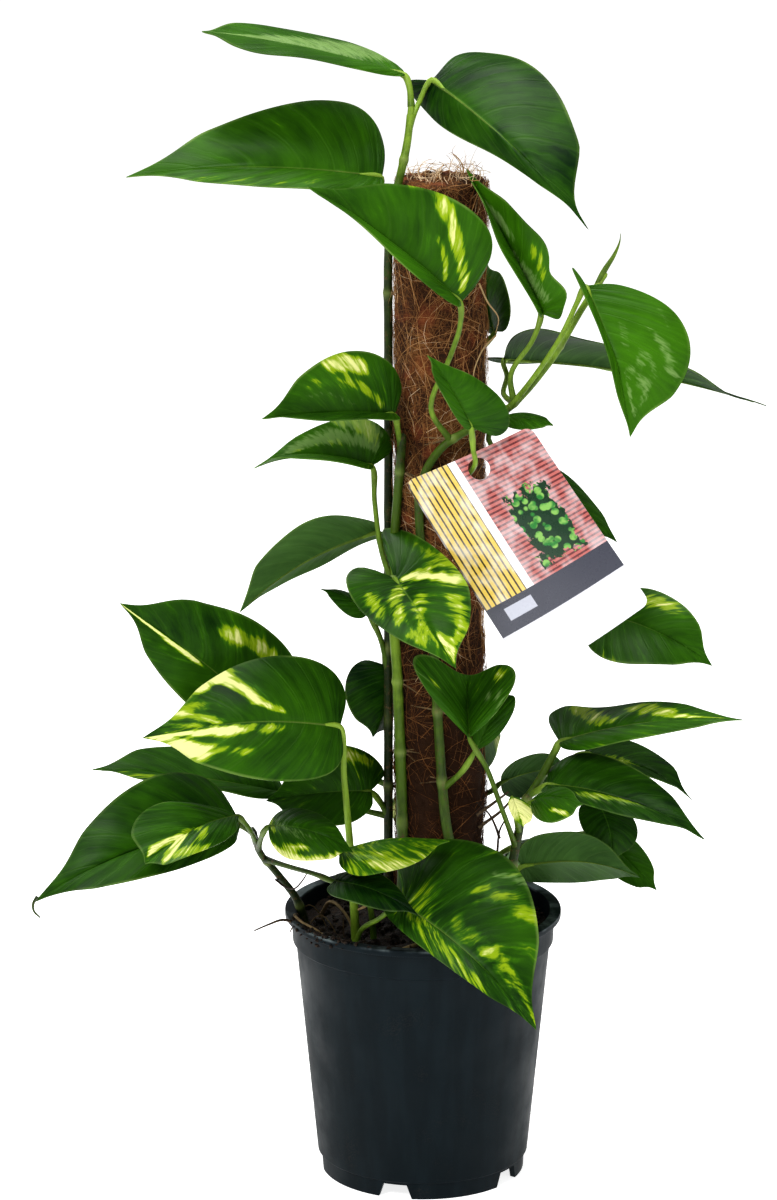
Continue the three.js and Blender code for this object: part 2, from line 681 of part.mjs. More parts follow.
// The soil fills the pot to just under its rim and has plain holes for the pole and each stem.
function soilSolid() {
  const floor = FOOT_HEIGHT + WALL + GAP;
  const wallRise = POT_HEIGHT - COLLAR_HEIGHT - FOOT_HEIGHT - 2;
  const slope = (COLLAR_RADIUS - COLLAR_STEP - BODY_FOOT_RADIUS) / wallRise;
  const footRadius = BODY_FOOT_RADIUS - WALL - 2 * GAP;
  const wallHeight = POT_HEIGHT - COLLAR_HEIGHT - 3 - floor;
  const profile = [
    [0, floor],
    [footRadius, floor],
    [footRadius + slope * wallHeight, floor + wallHeight],
    [footRadius + slope * wallHeight + 0.5, SOIL_EDGE],
    [POLE_RADIUS + SOIL_SHOULDER, (SOIL_EDGE + SOIL_CROWN) / 2 + 1],
    [0, SOIL_CROWN],
  ];
  let soil = solidOf(turned(profile, POT_SIDES));
  const poleFoot = floor + POLE_FOOT - GAP;
  const poleHole = upright(POLE_RADIUS + GAP, poleFoot, POT_HEIGHT, POLE_SIDES, POLE_X);
  const stakeHole = upright(STAKE_RADIUS + GAP, 0, POT_HEIGHT, POLE_SIDES, POLE_X);
  soil = soil.subtract(solidOf(poleHole)).subtract(solidOf(stakeHole));
  for (const hole of inSoil) soil = soil.subtract(hole);
  return soil;
}

// ---- coir pole ----

// A sleeve of coir, a little uneven along its height, round a timber stake.
function coirSolid() {
  const bottom = FOOT_HEIGHT + WALL + GAP + POLE_FOOT;
  const profile = [[0, bottom], [POLE_RADIUS, bottom]];
  const bands = 8;
  for (let i = 1; i < bands; i += 1) {
    const height = THREE.MathUtils.lerp(bottom, POLE_TOP - 4, i / bands);
    profile.push([POLE_RADIUS - 0.5 * (i % 2), height]);
  }
  profile.push([POLE_RADIUS - 0.4, POLE_TOP - 4], [POLE_RADIUS - 4, POLE_TOP], [0, POLE_TOP - 2]);
  const sleeve = solidOf(turned(profile, POLE_SIDES).translate(POLE_X, 0, 0));
  const bore = upright(STAKE_RADIUS + GAP, 0, STAKE_TOP + GAP, POLE_SIDES, POLE_X);
  return sleeve.subtract(solidOf(bore));
}

function stakeSolid() {
  const bottom = FOOT_HEIGHT + WALL + GAP;
  return solidOf(upright(STAKE_RADIUS, bottom, STAKE_TOP, POLE_SIDES, POLE_X));
}

// ---- hanging card ----

const CARD_CORNERS = {
  topLeft: [-9, -36, 347],
  topRight: [48, -44, 375],
  bottomRight: [103, -60, 296],
  bottomLeft: [49, -50, 256],
};
const CARD_HOLE = { across: 0.52, down: 0.075 };
const CARD_ACROSS = 5;
const CARD_DOWN = 7;

function cardPoint(across, down) {
  const { topLeft, topRight, bottomLeft, bottomRight } = CARD_CORNERS;
  const top = point(topLeft).lerp(point(topRight), across);
  const bottom = point(bottomLeft).lerp(point(bottomRight), across);
  const place = top.lerp(bottom, down);
  place.y -= CARD_BOW * Math.sin(Math.PI * across) + CARD_BOW * Math.sin(Math.PI * down);
  return place;
}

function cardSolid() {
  const places = [];
  const faces = [];
  const rim = [];
  const at = (i, j) => i + j * (CARD_ACROSS + 1);
  for (let j = 0; j <= CARD_DOWN; j += 1) {
    for (let i = 0; i <= CARD_ACROSS; i += 1) places.push(cardPoint(i / CARD_ACROSS, j / CARD_DOWN));
  }
  for (let j = 0; j < CARD_DOWN; j += 1) {
    for (let i = 0; i < CARD_ACROSS; i += 1) {
      faces.push([at(i, j), at(i, j + 1), at(i + 1, j + 1)]);
      faces.push([at(i, j), at(i + 1, j + 1), at(i + 1, j)]);
    }
    rim.push([at(0, j + 1), at(0, j)]);
    rim.push([at(CARD_ACROSS, j), at(CARD_ACROSS, j + 1)]);
  }
  for (let i = 0; i < CARD_ACROSS; i += 1) {
    rim.push([at(i, 0), at(i + 1, 0)]);
    rim.push([at(i + 1, CARD_DOWN), at(i, CARD_DOWN)]);
  }
  const sheet = thickened(places, faces, rim, CARD_THICKNESS);
  const hole = new THREE.CylinderGeometry(CARD_HOLE_RADIUS, CARD_HOLE_RADIUS, CARD_PUNCH, 16);
  hole.translate(...cardPoint(CARD_HOLE.across, CARD_HOLE.down));
  return sheet.subtract(solidOf(hole));
}

// ---- the whole plant ----

addPiece('pot', potSolid(), plastic);
addPiece('soil', soilSolid(), peat);
addPiece('coir_sleeve', coirSolid(), coir);
addPiece('stake', stakeSolid(), timber);
for (const [name, vine] of Object.entries(VINES)) addPiece(name, vine.solid, green);
for (const leaf of LEAVES) addPiece(leaf.name, leaf.solid, leafGreen);
addPiece('card', cardSolid(), card);

// The origin goes to the ground under the middle of the whole plant.
const reach = new THREE.Box3().setFromObject(plant);
const middle = reach.getCenter(new THREE.Vector3()).round();
plant.position.set(-middle.x, -middle.y, 0);

export default plant;
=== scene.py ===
# A golden pothos climbing a coir pole, in a plastic nursery pot with a hanging card.
# The frame gives the sizes; leaf and stem points are in millimetres from the pot's axis.
import math
import random

import bmesh
import bpy
from mathutils import Matrix, Vector, noise


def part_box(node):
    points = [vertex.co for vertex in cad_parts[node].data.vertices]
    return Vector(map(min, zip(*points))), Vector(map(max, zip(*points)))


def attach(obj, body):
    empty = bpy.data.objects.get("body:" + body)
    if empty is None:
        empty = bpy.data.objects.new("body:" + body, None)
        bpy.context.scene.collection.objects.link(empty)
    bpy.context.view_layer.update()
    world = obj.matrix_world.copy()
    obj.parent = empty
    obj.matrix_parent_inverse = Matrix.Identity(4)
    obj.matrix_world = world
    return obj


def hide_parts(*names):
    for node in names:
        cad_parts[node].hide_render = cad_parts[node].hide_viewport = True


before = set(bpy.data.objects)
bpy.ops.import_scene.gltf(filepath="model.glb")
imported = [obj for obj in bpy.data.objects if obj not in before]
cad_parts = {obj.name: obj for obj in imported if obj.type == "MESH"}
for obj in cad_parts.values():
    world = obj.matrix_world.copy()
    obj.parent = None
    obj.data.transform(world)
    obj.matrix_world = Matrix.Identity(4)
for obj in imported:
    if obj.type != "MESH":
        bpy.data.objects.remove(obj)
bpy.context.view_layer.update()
mm = 0.001

potLow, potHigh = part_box("pot")
poleLow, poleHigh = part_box("coir_sleeve")
potX = (potLow[0] + potHigh[0]) / 2
potY = (potLow[1] + potHigh[1]) / 2
potHeight = potHigh[2]
lipRadius = (potHigh[0] - potLow[0]) / 2
poleX = (poleLow[0] + poleHigh[0]) / 2
poleY = (poleLow[1] + poleHigh[1]) / 2
poleRadius = (poleHigh[0] - poleLow[0]) / 2
poleTop = poleHigh[2]


def place(point):
    # millimetres from the pot's axis to metres in the frame
    return Vector((potX + point[0] * mm, potY + point[1] * mm, point[2] * mm))


def blend(low, high, value):
    # smooth step from 0 at low to 1 at high
    share = min(1, max(0, (value - low) / (high - low)))
    return share * share * (3 - 2 * share)


def newObject(name, data):
    made = bpy.data.objects.new(name, data)
    bpy.context.collection.objects.link(made)
    return made


def meshOf(name, bm, materials=()):
    # a mesh from a bmesh, which is freed
    mesh = bpy.data.meshes.new(name)
    bm.to_mesh(mesh)
    bm.free()
    for material in materials:
        mesh.materials.append(material)
    return mesh


def newBmesh():
    bm = bmesh.new()
    bm.verts.layers.float_vector.new("paint")
    return bm


def smoothed(bm):
    for face in bm.faces:
        face.smooth = True


def evaluated(work):
    # the object's mesh with its modifiers or bevel applied; the object itself goes
    graph = bpy.context.evaluated_depsgraph_get()
    made = bpy.data.meshes.new_from_object(work.evaluated_get(graph))
    bpy.data.objects.remove(work)
    result = bmesh.new()
    result.from_mesh(made)
    bpy.data.meshes.remove(made)
    return result


def applied(bm, materials, modifiers):
    # runs modifiers over a bmesh and gives the result back as a new bmesh
    mesh = meshOf("work", bm, materials)
    work = newObject("work", mesh)
    for kind, settings in modifiers:
        modifier = work.modifiers.new(kind.lower(), kind)
        for key, value in settings.items():
            setattr(modifier, key, value)
    result = evaluated(work)
    bpy.data.meshes.remove(mesh)
    return result


def cut(bm, materials, modifiers, cutters):
    # takes the cutters out of a bmesh, after the other modifiers
    cutter = newObject("cutters", meshOf("cutters", cutters))
    boolean = {"operation": "DIFFERENCE", "object": cutter, "solver": "EXACT"}
    result = applied(bm, materials, [*modifiers, ("BOOLEAN", boolean)])
    bpy.data.objects.remove(cutter)
    return result


def turned(bm, line, centre, segments):
    # joins the points of a profile and turns it round the upright axis through centre
    verts = [bm.verts.new(point) for point in line]
    edges = [bm.edges.new(pair) for pair in zip(verts, verts[1:])]
    bmesh.ops.spin(bm, geom=verts + edges, cent=centre, axis=(0, 0, 1), angle=math.tau,
                   steps=segments, use_merge=True)
    bmesh.ops.remove_doubles(bm, verts=bm.verts, dist=1e-6)


def addPiece(name, bm, materials, nodes, sharpAngle=40):
    # puts a finished bmesh in the scene, riding on the one body
    mesh = meshOf(name, bm, materials)
    mesh.set_sharp_from_angle(angle=math.radians(sharpAngle))
    piece = newObject(name, mesh)
    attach(piece, "root")
    if nodes:
        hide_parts(*nodes)


def srgb(red, green, blue):
    # screen colour, 0 to 255, to the linear colour that a shader takes
    def linear(value):
        value = value / 255
        return value / 12.92 if value <= 0.04045 else ((value + 0.055) / 1.055) ** 2.4
    return (linear(red), linear(green), linear(blue), 1)


def addNode(tree, kind, inputs=None, **settings):
    node = tree.nodes.new(kind)
    for key, value in settings.items():
        setattr(node, key, value)
    for key, value in (inputs or {}).items():
        if isinstance(value, bpy.types.NodeSocket):
            tree.links.new(value, node.inputs[key])
        else:
            node.inputs[key].default_value = value
    return node


def calc(tree, operation, first, second=0.0, third=0.0):
    node = addNode(tree, "ShaderNodeMath", {0: first, 1: second, 2: third}, operation=operation)
    return node.outputs[0]


def times(tree, first, second):
    return calc(tree, "MULTIPLY", first, second)


def plus(tree, value, amount, base):
    # base, and value by amount on top of it
    return calc(tree, "MULTIPLY_ADD", value, amount, base)


def varied(tree, pattern, amount, base):
    # base, moved up and down by a pattern round one half
    return plus(tree, calc(tree, "SUBTRACT", pattern, 0.5), amount, base)


def awayFrom(tree, value, middle):
    return calc(tree, "ABSOLUTE", calc(tree, "SUBTRACT", value, middle))


def step(tree, value, low, high, toLow=0.0, toHigh=1.0):
    inputs = {"Value": value, "From Min": low, "From Max": high, "To Min": toLow, "To Max": toHigh}
    node = addNode(tree, "ShaderNodeMapRange", inputs, interpolation_type="SMOOTHSTEP")
    return node.outputs["Result"]


def mixed(tree, factor, first, second):
    inputs = {0: factor, 6: first, 7: second}
    return addNode(tree, "ShaderNodeMix", inputs, data_type="RGBA").outputs[2]


def clamped(tree, value):
    return addNode(tree, "ShaderNodeClamp", {0: value}).outputs[0]


def parts(tree, source):
    return addNode(tree, "ShaderNodeSeparateXYZ", {0: source}).outputs


def objectPlace(tree):
    return addNode(tree, "ShaderNodeTexCoord").outputs["Object"]


def paintOf(tree):
    return addNode(tree, "ShaderNodeAttribute", attribute_name="paint").outputs["Vector"]


def stretched(tree, source, *scale):
    inputs = {"Vector": source, "Scale": scale}
    return addNode(tree, "ShaderNodeMapping", inputs).outputs[0]


def noiseOf(tree, source, scale, detail=2.0, roughness=0.5, distortion=0.0):
    inputs = {"Vector": source, "Scale": scale, "Detail": detail,
              "Roughness": roughness, "Distortion": distortion}
    return addNode(tree, "ShaderNodeTexNoise", inputs).outputs[0]


def cells(tree, source, scale, feature="F1"):
    inputs = {"Vector": source, "Scale": scale}
    return addNode(tree, "ShaderNodeTexVoronoi", inputs, feature=feature).outputs["Distance"]


def newGroup(name, inputs, outputs):
    # inputs and outputs map a socket's name to its kind: Float, Vector or Color
    tree = bpy.data.node_groups.new(name, "ShaderNodeTree")
    for sockets, direction in ((inputs, "INPUT"), (outputs, "OUTPUT")):
        for socketName, kind in sockets.items():
            tree.interface.new_socket(socketName, in_out=direction,
                                      socket_type="NodeSocket" + kind)
    source = tree.nodes.new("NodeGroupInput").outputs
    result = tree.nodes.new("NodeGroupOutput").inputs
    return tree, source, result


def useGroup(tree, group, inputs):
    return addNode(tree, "ShaderNodeGroup", inputs, node_tree=group).outputs


def newMaterial(name, **fixed):
    # fixed holds what is the same all over, by the shader's socket names
    material = bpy.data.materials.new(name)
    material.use_nodes = True
    tree = material.node_tree
    shader = tree.nodes["Principled BSDF"]
    for key, value in fixed.items():
        shader.inputs[key.replace("_", " ")].default_value = value
    return material, tree, shader


def setSurface(tree, shader, colour, roughness, height, distance, strength):
    # links what varies over the piece, with the height as a bump
    inputs = {"Height": height, "Distance": distance, "Strength": strength}
    bump = addNode(tree, "ShaderNodeBump", inputs).outputs["Normal"]
    for key, value in {"Base Color": colour, "Roughness": roughness, "Normal": bump}.items():
        if value is not None:
            tree.links.new(value, shader.inputs[key])


studio = {
    "cameraAt": (-16.5, -2100, 824),
    "cameraPitch": 14.48,  # degrees down
    "lens": 138.4,
    "sensor": 36,
    "farthest": 20,
    "floorSize": 60,
    "floorColour": (0.93, 0.93, 0.93, 1),
    "floorRoughness": 0.75,
    "floorGlow": 0.68,
    "worldLight": 0.22,
    "lights": [
        # name, place in metres, aim height, size, watts
        ("keyLight", (-0.8, -1.4, 1.6), 0.25, 0.7, 21),
        ("fillLight", (1.3, -1.2, 0.8), 0.25, 1.0, 4.5),
        ("topLight", (0.1, 0.1, 1.7), 0.3, 0.8, 17),
        ("rimLight", (-0.7, 1.2, 1.2), 0.3, 0.7, 6),
    ],
}


def buildStudio():
    cameraData = bpy.data.cameras.new("camera")
    cameraData.lens = studio["lens"]
    cameraData.sensor_width = studio["sensor"]
    cameraData.clip_end = studio["farthest"]
    camera = newObject("camera", cameraData)
    camera.location = place(studio["cameraAt"])
    camera.rotation_euler = (math.radians(90 - studio["cameraPitch"]), 0, 0)
    bpy.context.scene.camera = camera

    for name, at, aim, size, watts in studio["lights"]:
        lightData = bpy.data.lights.new(name, "AREA")
        lightData.size = size
        lightData.energy = watts
        light = newObject(name, lightData)
        light.location = at
        direction = Vector((0, 0, aim)) - Vector(at)
        light.rotation_euler = direction.to_track_quat("-Z", "Y").to_euler()

    # a dim world for the plant, that looks white from the camera
    world = bpy.data.worlds.new("studioWorld")
    world.use_nodes = True
    tree = world.node_tree
    ray = addNode(tree, "ShaderNodeLightPath").outputs["Is Camera Ray"]
    inputs = {"Value": ray, "To Min": studio["worldLight"]}
    strength = addNode(tree, "ShaderNodeMapRange", inputs).outputs["Result"]
    backdrop = tree.nodes["Background"]
    backdrop.inputs["Color"].default_value = (1, 1, 1, 1)
    tree.links.new(strength, backdrop.inputs["Strength"])
    bpy.context.scene.world = world

    bm = bmesh.new()
    bmesh.ops.create_grid(bm, x_segments=1, y_segments=1, size=studio["floorSize"] / 2)
    pale, _, _ = newMaterial("paleFloor", Base_Color=studio["floorColour"],
                             Roughness=studio["floorRoughness"], Emission_Color=(1, 1, 1, 1),
                             Emission_Strength=studio["floorGlow"])
    newObject("floor", meshOf("floor", bm, [pale]))


buildStudio()
bpy.context.scene.view_settings.view_transform = "Standard"
bpy.context.scene.view_settings.look = "Medium High Contrast"
print("studio ready")

leafLook = {
    "veins": 9,  # on each side
    "upper": {
        "Dark": srgb(2, 30, 6), "Light": srgb(68, 122, 12), "Yellow": srgb(146, 172, 24),
        "Cream": srgb(224, 226, 150), "Rib": srgb(88, 132, 42), "Edge": srgb(136, 160, 88),
        # the next colour is a painted highlight, laid on by the sheen strokes
        "HighlightColour": srgb(140, 170, 104),
    },
    "under": {
        "Dark": srgb(26, 52, 20), "Light": srgb(82, 122, 56), "Yellow": srgb(118, 148, 58),
        "Cream": srgb(196, 204, 130), "Rib": srgb(104, 136, 66), "Edge": srgb(122, 146, 84),
        # the next colour is a painted highlight, laid on by the sheen strokes
        "HighlightColour": srgb(140, 168, 112),
    },
    "upperRoughness": (0.36, 0.5),  # at the smooth and the grainy places
    "underRoughness": (0.55, 0.7),
    "upperRelief": 0.00035,  # metres
    "underRelief": 0.0003,
}


def leafPatternGroup():
    # paint carries how cream the place is, how light the leaf is and the leaf's own seed
    tree, source, result = newGroup(
        "leafPattern",
        {"UV": "Vector", "Paint": "Vector", "SheenHighlight": "Float", "Object": "Vector",
         **{name: "Color" for name in leafLook["upper"]}},
        {"Colour": "Color", "CreamMask": "Float", "Height": "Float", "Grain": "Float"},
    )
    uv = parts(tree, source["UV"])
    paint = parts(tree, source["Paint"])
    across = calc(tree, "ABSOLUTE", plus(tree, uv[0], 2.0, -1.0))
    seed = times(tree, paint[2], 13.7)

    # streaks run out along the side veins, with a ragged edge between them
    wobble = noiseOf(tree, source["Object"], 90.0)
    along = plus(tree, wobble, 0.035, uv[1])

    def veinNoise(timesAcross, timesAlong, detail, roughness):
        inputs = {"X": plus(tree, uv[0], timesAcross, seed),
                  "Y": times(tree, along, timesAlong), "Z": seed}
        at = addNode(tree, "ShaderNodeCombineXYZ", inputs).outputs[0]
        return noiseOf(tree, at, 1.0, detail, roughness)

    streak = veinNoise(3.2, 34.0, 4.0, 0.56)
    flake = veinNoise(9.0, 60.0, 3.0, 0.6)
    ragged = varied(tree, streak, 1.25, paint[0])
    ragged = varied(tree, flake, 0.45, ragged)
    fresh = step(tree, ragged, 0.26, 0.48)
    halo = step(tree, ragged, 0.42, 0.62)
    core = step(tree, ragged, 0.64, 0.88)
    # painted highlight: pale streaks along the veins where the sheen strokes lie
    highlight = step(tree, varied(tree, flake, 1.6, source["SheenHighlight"]), 0.3, 0.9, 0.0, 0.55)

    # the green varies softly over the blade and is lighter beside the veins
    cloud = noiseOf(tree, source["Object"], 34.0, 3.0)
    shade = varied(tree, cloud, 0.9, paint[1])
    shade = varied(tree, streak, 0.6, shade)
    # painted shade: each blade darkens in its middle towards the base, inside the plant
    inner = times(tree, step(tree, uv[1], 0.45, 0.0), step(tree, across, 0.75, 0.1))
    shade = clamped(tree, plus(tree, inner, -0.14, shade))
    green = mixed(tree, shade, source["Dark"], source["Light"])

    veinWave = times(tree, uv[1], float(leafLook["veins"]))
    veinAway = awayFrom(tree, calc(tree, "FRACT", veinWave), 0.5)
    vein = step(tree, veinAway, 0.44, 0.5)
    fineWave = times(tree, along, leafLook["veins"] * 4.0)
    fine = step(tree, awayFrom(tree, calc(tree, "FRACT", fineWave), 0.5), 0.36, 0.5)
    rib = step(tree, across, 0.045, 0.012)
    edge = step(tree, across, 0.962, 0.99)
    edge = times(tree, edge, step(tree, cloud, 0.4, 0.65, 0.08, 0.4))

    colour = green
    for factor, overlay in [
            (times(tree, vein, 0.09), "Rib"), (times(tree, fine, 0.06), "Light"),
            (times(tree, fresh, 0.45), "Light"), (times(tree, halo, 0.88), "Yellow"),
            (core, "Cream"), (highlight, "HighlightColour"), (times(tree, rib, 0.38), "Rib"),
            (edge, "Edge")]:
        colour = mixed(tree, factor, colour, source[overlay])

    grain = cells(tree, source["Object"], 1500.0)
    height = calc(tree, "SINE", times(tree, veinAway, math.pi))
    for relief, amount in [(vein, -0.5), (fine, -0.12), (cloud, 0.5), (grain, 0.05)]:
        height = plus(tree, relief, amount, height)
    tree.links.new(colour, result["Colour"])
    tree.links.new(core, result["CreamMask"])
    tree.links.new(height, result["Height"])
    tree.links.new(plus(tree, cloud, 0.7, times(tree, grain, 0.3)), result["Grain"])
    return tree


leafPattern = leafPatternGroup()


def leafMaterial(name, side, **fixed):
    material, tree, shader = newMaterial(name, **fixed)
    uv = addNode(tree, "ShaderNodeUVMap", uv_map="blade").outputs[0]
    # the strength of the painted highlight, from the sheen strokes
    paintedSheen = addNode(tree, "ShaderNodeAttribute", attribute_name="paintedSheen").outputs["Fac"]
    pattern = useGroup(tree, leafPattern, {"UV": uv, "Paint": paintOf(tree), "SheenHighlight": paintedSheen,
                                           "Object": objectPlace(tree), **leafLook[side]})
    gloss = step(tree, pattern["Grain"], 0.2, 0.8, *leafLook[side + "Roughness"])
    gloss = plus(tree, pattern["CreamMask"], 0.08, gloss)
    setSurface(tree, shader, pattern["Colour"], gloss, pattern["Height"],
               leafLook[side + "Relief"], 0.6)
    return material


upperLeaf = leafMaterial("leafUpper", "upper", Coat_Weight=0.02, Coat_Roughness=0.2,
                         Specular_IOR_Level=0.09)
underLeaf = leafMaterial("leafUnderside", "under", Specular_IOR_Level=0.13)

stemLook = {
    "fresh": srgb(130, 160, 52),
    "young": srgb(72, 98, 24),
    "old": srgb(32, 46, 16),
    "bark": srgb(84, 66, 38),
    "ring": srgb(150, 166, 92),
}


def stemMaterial():
    # paint carries the ring mask, how fresh the place is, which is partly painted shade,
    # and the stem's own seed
    material, tree, shader = newMaterial("stemSkin", Coat_Weight=0.05, Coat_Roughness=0.3,
                                         Specular_IOR_Level=0.22)
    paint = parts(tree, paintOf(tree))
    here = objectPlace(tree)
    long = noiseOf(tree, stretched(tree, here, 1.0, 1.0, 0.16), 900.0, 3.0, 0.6)
    patch = noiseOf(tree, here, 140.0, 3.0)
    fresh = varied(tree, long, 0.3, varied(tree, patch, 0.55, paint[1]))
    colour = mixed(tree, step(tree, fresh, 0.05, 0.5), stemLook["old"], stemLook["young"])
    colour = mixed(tree, step(tree, fresh, 0.5, 1.0), colour, stemLook["fresh"])
    scar = step(tree, noiseOf(tree, here, 420.0, 4.0, 0.7), 0.54, 0.66)
    age = step(tree, fresh, 0.65, 0.1)
    colour = mixed(tree, times(tree, scar, age), colour, stemLook["bark"])
    colour = mixed(tree, times(tree, paint[0], 0.4), colour, stemLook["ring"])
    setSurface(tree, shader, colour, step(tree, patch, 0.3, 0.7, 0.4, 0.58),
               plus(tree, long, 0.7, times(tree, scar, 0.4)), 0.0004, 0.7)
    return material


stemSkin = stemMaterial()
rootLook = {"dark": srgb(40, 28, 20), "pale": srgb(176, 150, 108)}


def rootMaterial():
    # paint's first value says how pale the root is
    material, tree, shader = newMaterial("rootSkin", Roughness=0.8, Specular_IOR_Level=0.25)
    grime = noiseOf(tree, objectPlace(tree), 700.0, 4.0, 0.65)
    pale = clamped(tree, varied(tree, grime, 0.7, parts(tree, paintOf(tree))[0]))
    colour = mixed(tree, pale, rootLook["dark"], rootLook["pale"])
    setSurface(tree, shader, colour, None, grime, 0.0003, 0.8)
    return material


rootSkin = rootMaterial()
print("plant materials ready")


def smoothCurve(points, count):
    # centripetal Catmull-Rom through the points, with count stretches
    points = [Vector(p) for p in points]
    before = points[0] * 2 - points[1]
    after = points[-1] * 2 - points[-2]
    padded = [before, *points, after]
    result = []
    for i in range(count + 1):
        travel = (len(points) - 1) * i / count
        index = min(int(travel), len(points) - 2)
        share = travel - index
        p0, p1, p2, p3 = padded[index:index + 4]
        d0 = (p1 - p0).length ** 0.5 or 1
        d1 = (p2 - p1).length ** 0.5 or 1
        d2 = (p3 - p2).length ** 0.5 or 1
        m1 = ((p1 - p0) / d0 - (p2 - p0) / (d0 + d1) + (p2 - p1) / d1) * d1
        m2 = ((p2 - p1) / d1 - (p3 - p1) / (d1 + d2) + (p3 - p2) / d2) * d1
        s2 = share * share
        s3 = s2 * share
        result.append(p1 * (2 * s3 - 3 * s2 + 1) + m1 * (s3 - 2 * s2 + share)
                      + p2 * (3 * s2 - 2 * s3) + m2 * (s3 - s2))
    return result


def ringMatrix(centre, tangent, side, radius):
    rows = Matrix((side * radius, tangent.cross(side) * radius, tangent * radius)).transposed()
    matrix = rows.to_4x4()
    matrix.translation = centre
    return matrix


def sweep(bm, path, radii, sides, paints, material=0):
    # a closed tube: a ring extruded from place to place along the path
    layer = bm.verts.layers.float_vector["paint"]
    tangents = []
    for i in range(len(path)):
        ahead = path[min(i + 1, len(path) - 1)]
        behind = path[max(i - 1, 0)]
        tangents.append((ahead - behind).normalized())
    side = tangents[0].orthogonal().normalized()
    last = ringMatrix(path[0], tangents[0], side, radii[0])
    made = bmesh.ops.create_circle(bm, cap_ends=True, segments=sides, radius=1, matrix=last)
    ring = made["verts"]
    for vert in ring:
        vert[layer] = paints[0]
    faces = list(ring[0].link_faces)
    edges = list(dict.fromkeys(edge for vert in ring for edge in vert.link_edges))
    for i in range(1, len(path)):
        side = (side - tangents[i] * side.dot(tangents[i])).normalized()
        matrix = ringMatrix(path[i], tangents[i], side, radii[i])
        grown = bmesh.ops.extrude_edge_only(bm, edges=edges)["geom"]
        ring = [g for g in grown if isinstance(g, bmesh.types.BMVert)]
        ringSet = set(ring)
        edges = [g for g in grown if isinstance(g, bmesh.types.BMEdge)
                 and g.verts[0] in ringSet and g.verts[1] in ringSet]
        faces += [g for g in grown if isinstance(g, bmesh.types.BMFace)]
        bmesh.ops.transform(bm, matrix=matrix @ last.inverted(), verts=ring)
        for vert in ring:
            vert[layer] = paints[i]
        last = matrix
    faces += bmesh.ops.contextual_create(bm, geom=edges)["faces"]
    bmesh.ops.recalc_face_normals(bm, faces=faces)
    for face in faces:
        face.smooth = True
        face.material_index = material
    return faces


vineShape = {
    "pole": (7.5, 21.4),  # how far right of the pot's axis, and its radius
    "poleGap": 0.3,
    "radius": 2.4,
    "sides": 14,
    "ringSpacing": 34,
    "ringWidth": 1.6,
    "ringSwell": 0.22,
    "grain": 0.05,  # unevenness of the radius
    "stepLength": 2.2,
}


def onPole(degrees, height, lift=0):
    # a point beside the pole, round it from the front towards +X
    angle = math.radians(degrees)
    across, radius = vineShape["pole"]
    reach = radius + vineShape["poleGap"] + vineShape["radius"] + lift
    return (across + reach * math.sin(angle), -reach * math.cos(angle), height)


# climb holds points round the pole: degrees, height and a lift; points are plain ones after them;
# fresh is how green the stem is at its foot, middle and tip, partly its age and partly painted
# shade, thick how stout at foot and tip
vines = {
    "vine_left": {
        "climb": [(-46, 104), (-46, 165), (-50, 212), (-56, 250), (-65, 280), (-60, 318),
                  (-50, 352)],
        "points": [(-10, -21, 366)],
        "fresh": (0.1, 0.85, 0.15), "thick": (1.15, 0.85),
    },
    "vine_front": {
        "climb": [(14, 104), (14, 161), (6, 184), (-3, 236), (-8, 270), (-18, 300), (-22, 342),
                  (0, 360, 1), (28, 368, 1.5)],
        "points": [(38, -14, 376), (57, -12, 397), (74, -6, 424), (84, -2, 438)],
        "fresh": (0.32, 0.36, 0.9), "thick": (1.05, 0.62),
    },
    "vine_tall": {
        "climb": [(-88, 104), (-90, 160), (-93, 215), (-95, 300), (-93, 400), (-88, 446),
                  (-72, 468), (-52, 484)],
        "points": [(-8, -12, 500), (-6, -9, 517)],
        "fresh": (0.0, 0.1, 0.95), "thick": (0.95, 0.75),
    },
    "vine_back": {
        "climb": [(150, 104), (152, 160), (156, 230), (148, 300), (150, 370), (142, 425)],
        "points": [],
        "fresh": (0.05, 0.2, 0.45), "thick": (1.0, 0.7),
    },
    "shoot_left": {
        "climb": [],
        "points": [(-54, -6, 104), (-56, -6, 122), (-60, -8, 136), (-69, -14, 151),
                   (-77, -27, 166), (-80, -40, 182)],
        "fresh": (0.0, 0.0, 0.2), "thick": (0.9, 0.62),
    },
    "shoot_right": {
        "climb": [],
        "points": [(37, -14, 104), (38, -15, 128), (41, -17, 150), (45, -19, 174),
                   (47, -20, 187), (54, -19, 198), (61, -17, 211)],
        "fresh": (0.0, 0.15, 0.5), "thick": (1.0, 0.8),
    },
}
newLeaf = {
    "vine": "vine_front",
    "points": [(79, -4, 431), (83, -2, 439), (87.5, -0.5, 446), (90, 0, 452), (90.5, 0.5, 456)],
    "radius": 1.5,
    "sides": 12,
    "steps": 18,
}


def lengthOf(path):
    return sum((b - a).length for a, b in zip(path, path[1:]))


def vineLine(vine):
    points = [place(p) for p in [onPole(*p) for p in vine["climb"]] + vine["points"]]
    length = lengthOf(smoothCurve(points, 60))
    return smoothCurve(points, int(length / (vineShape["stepLength"] * mm)))


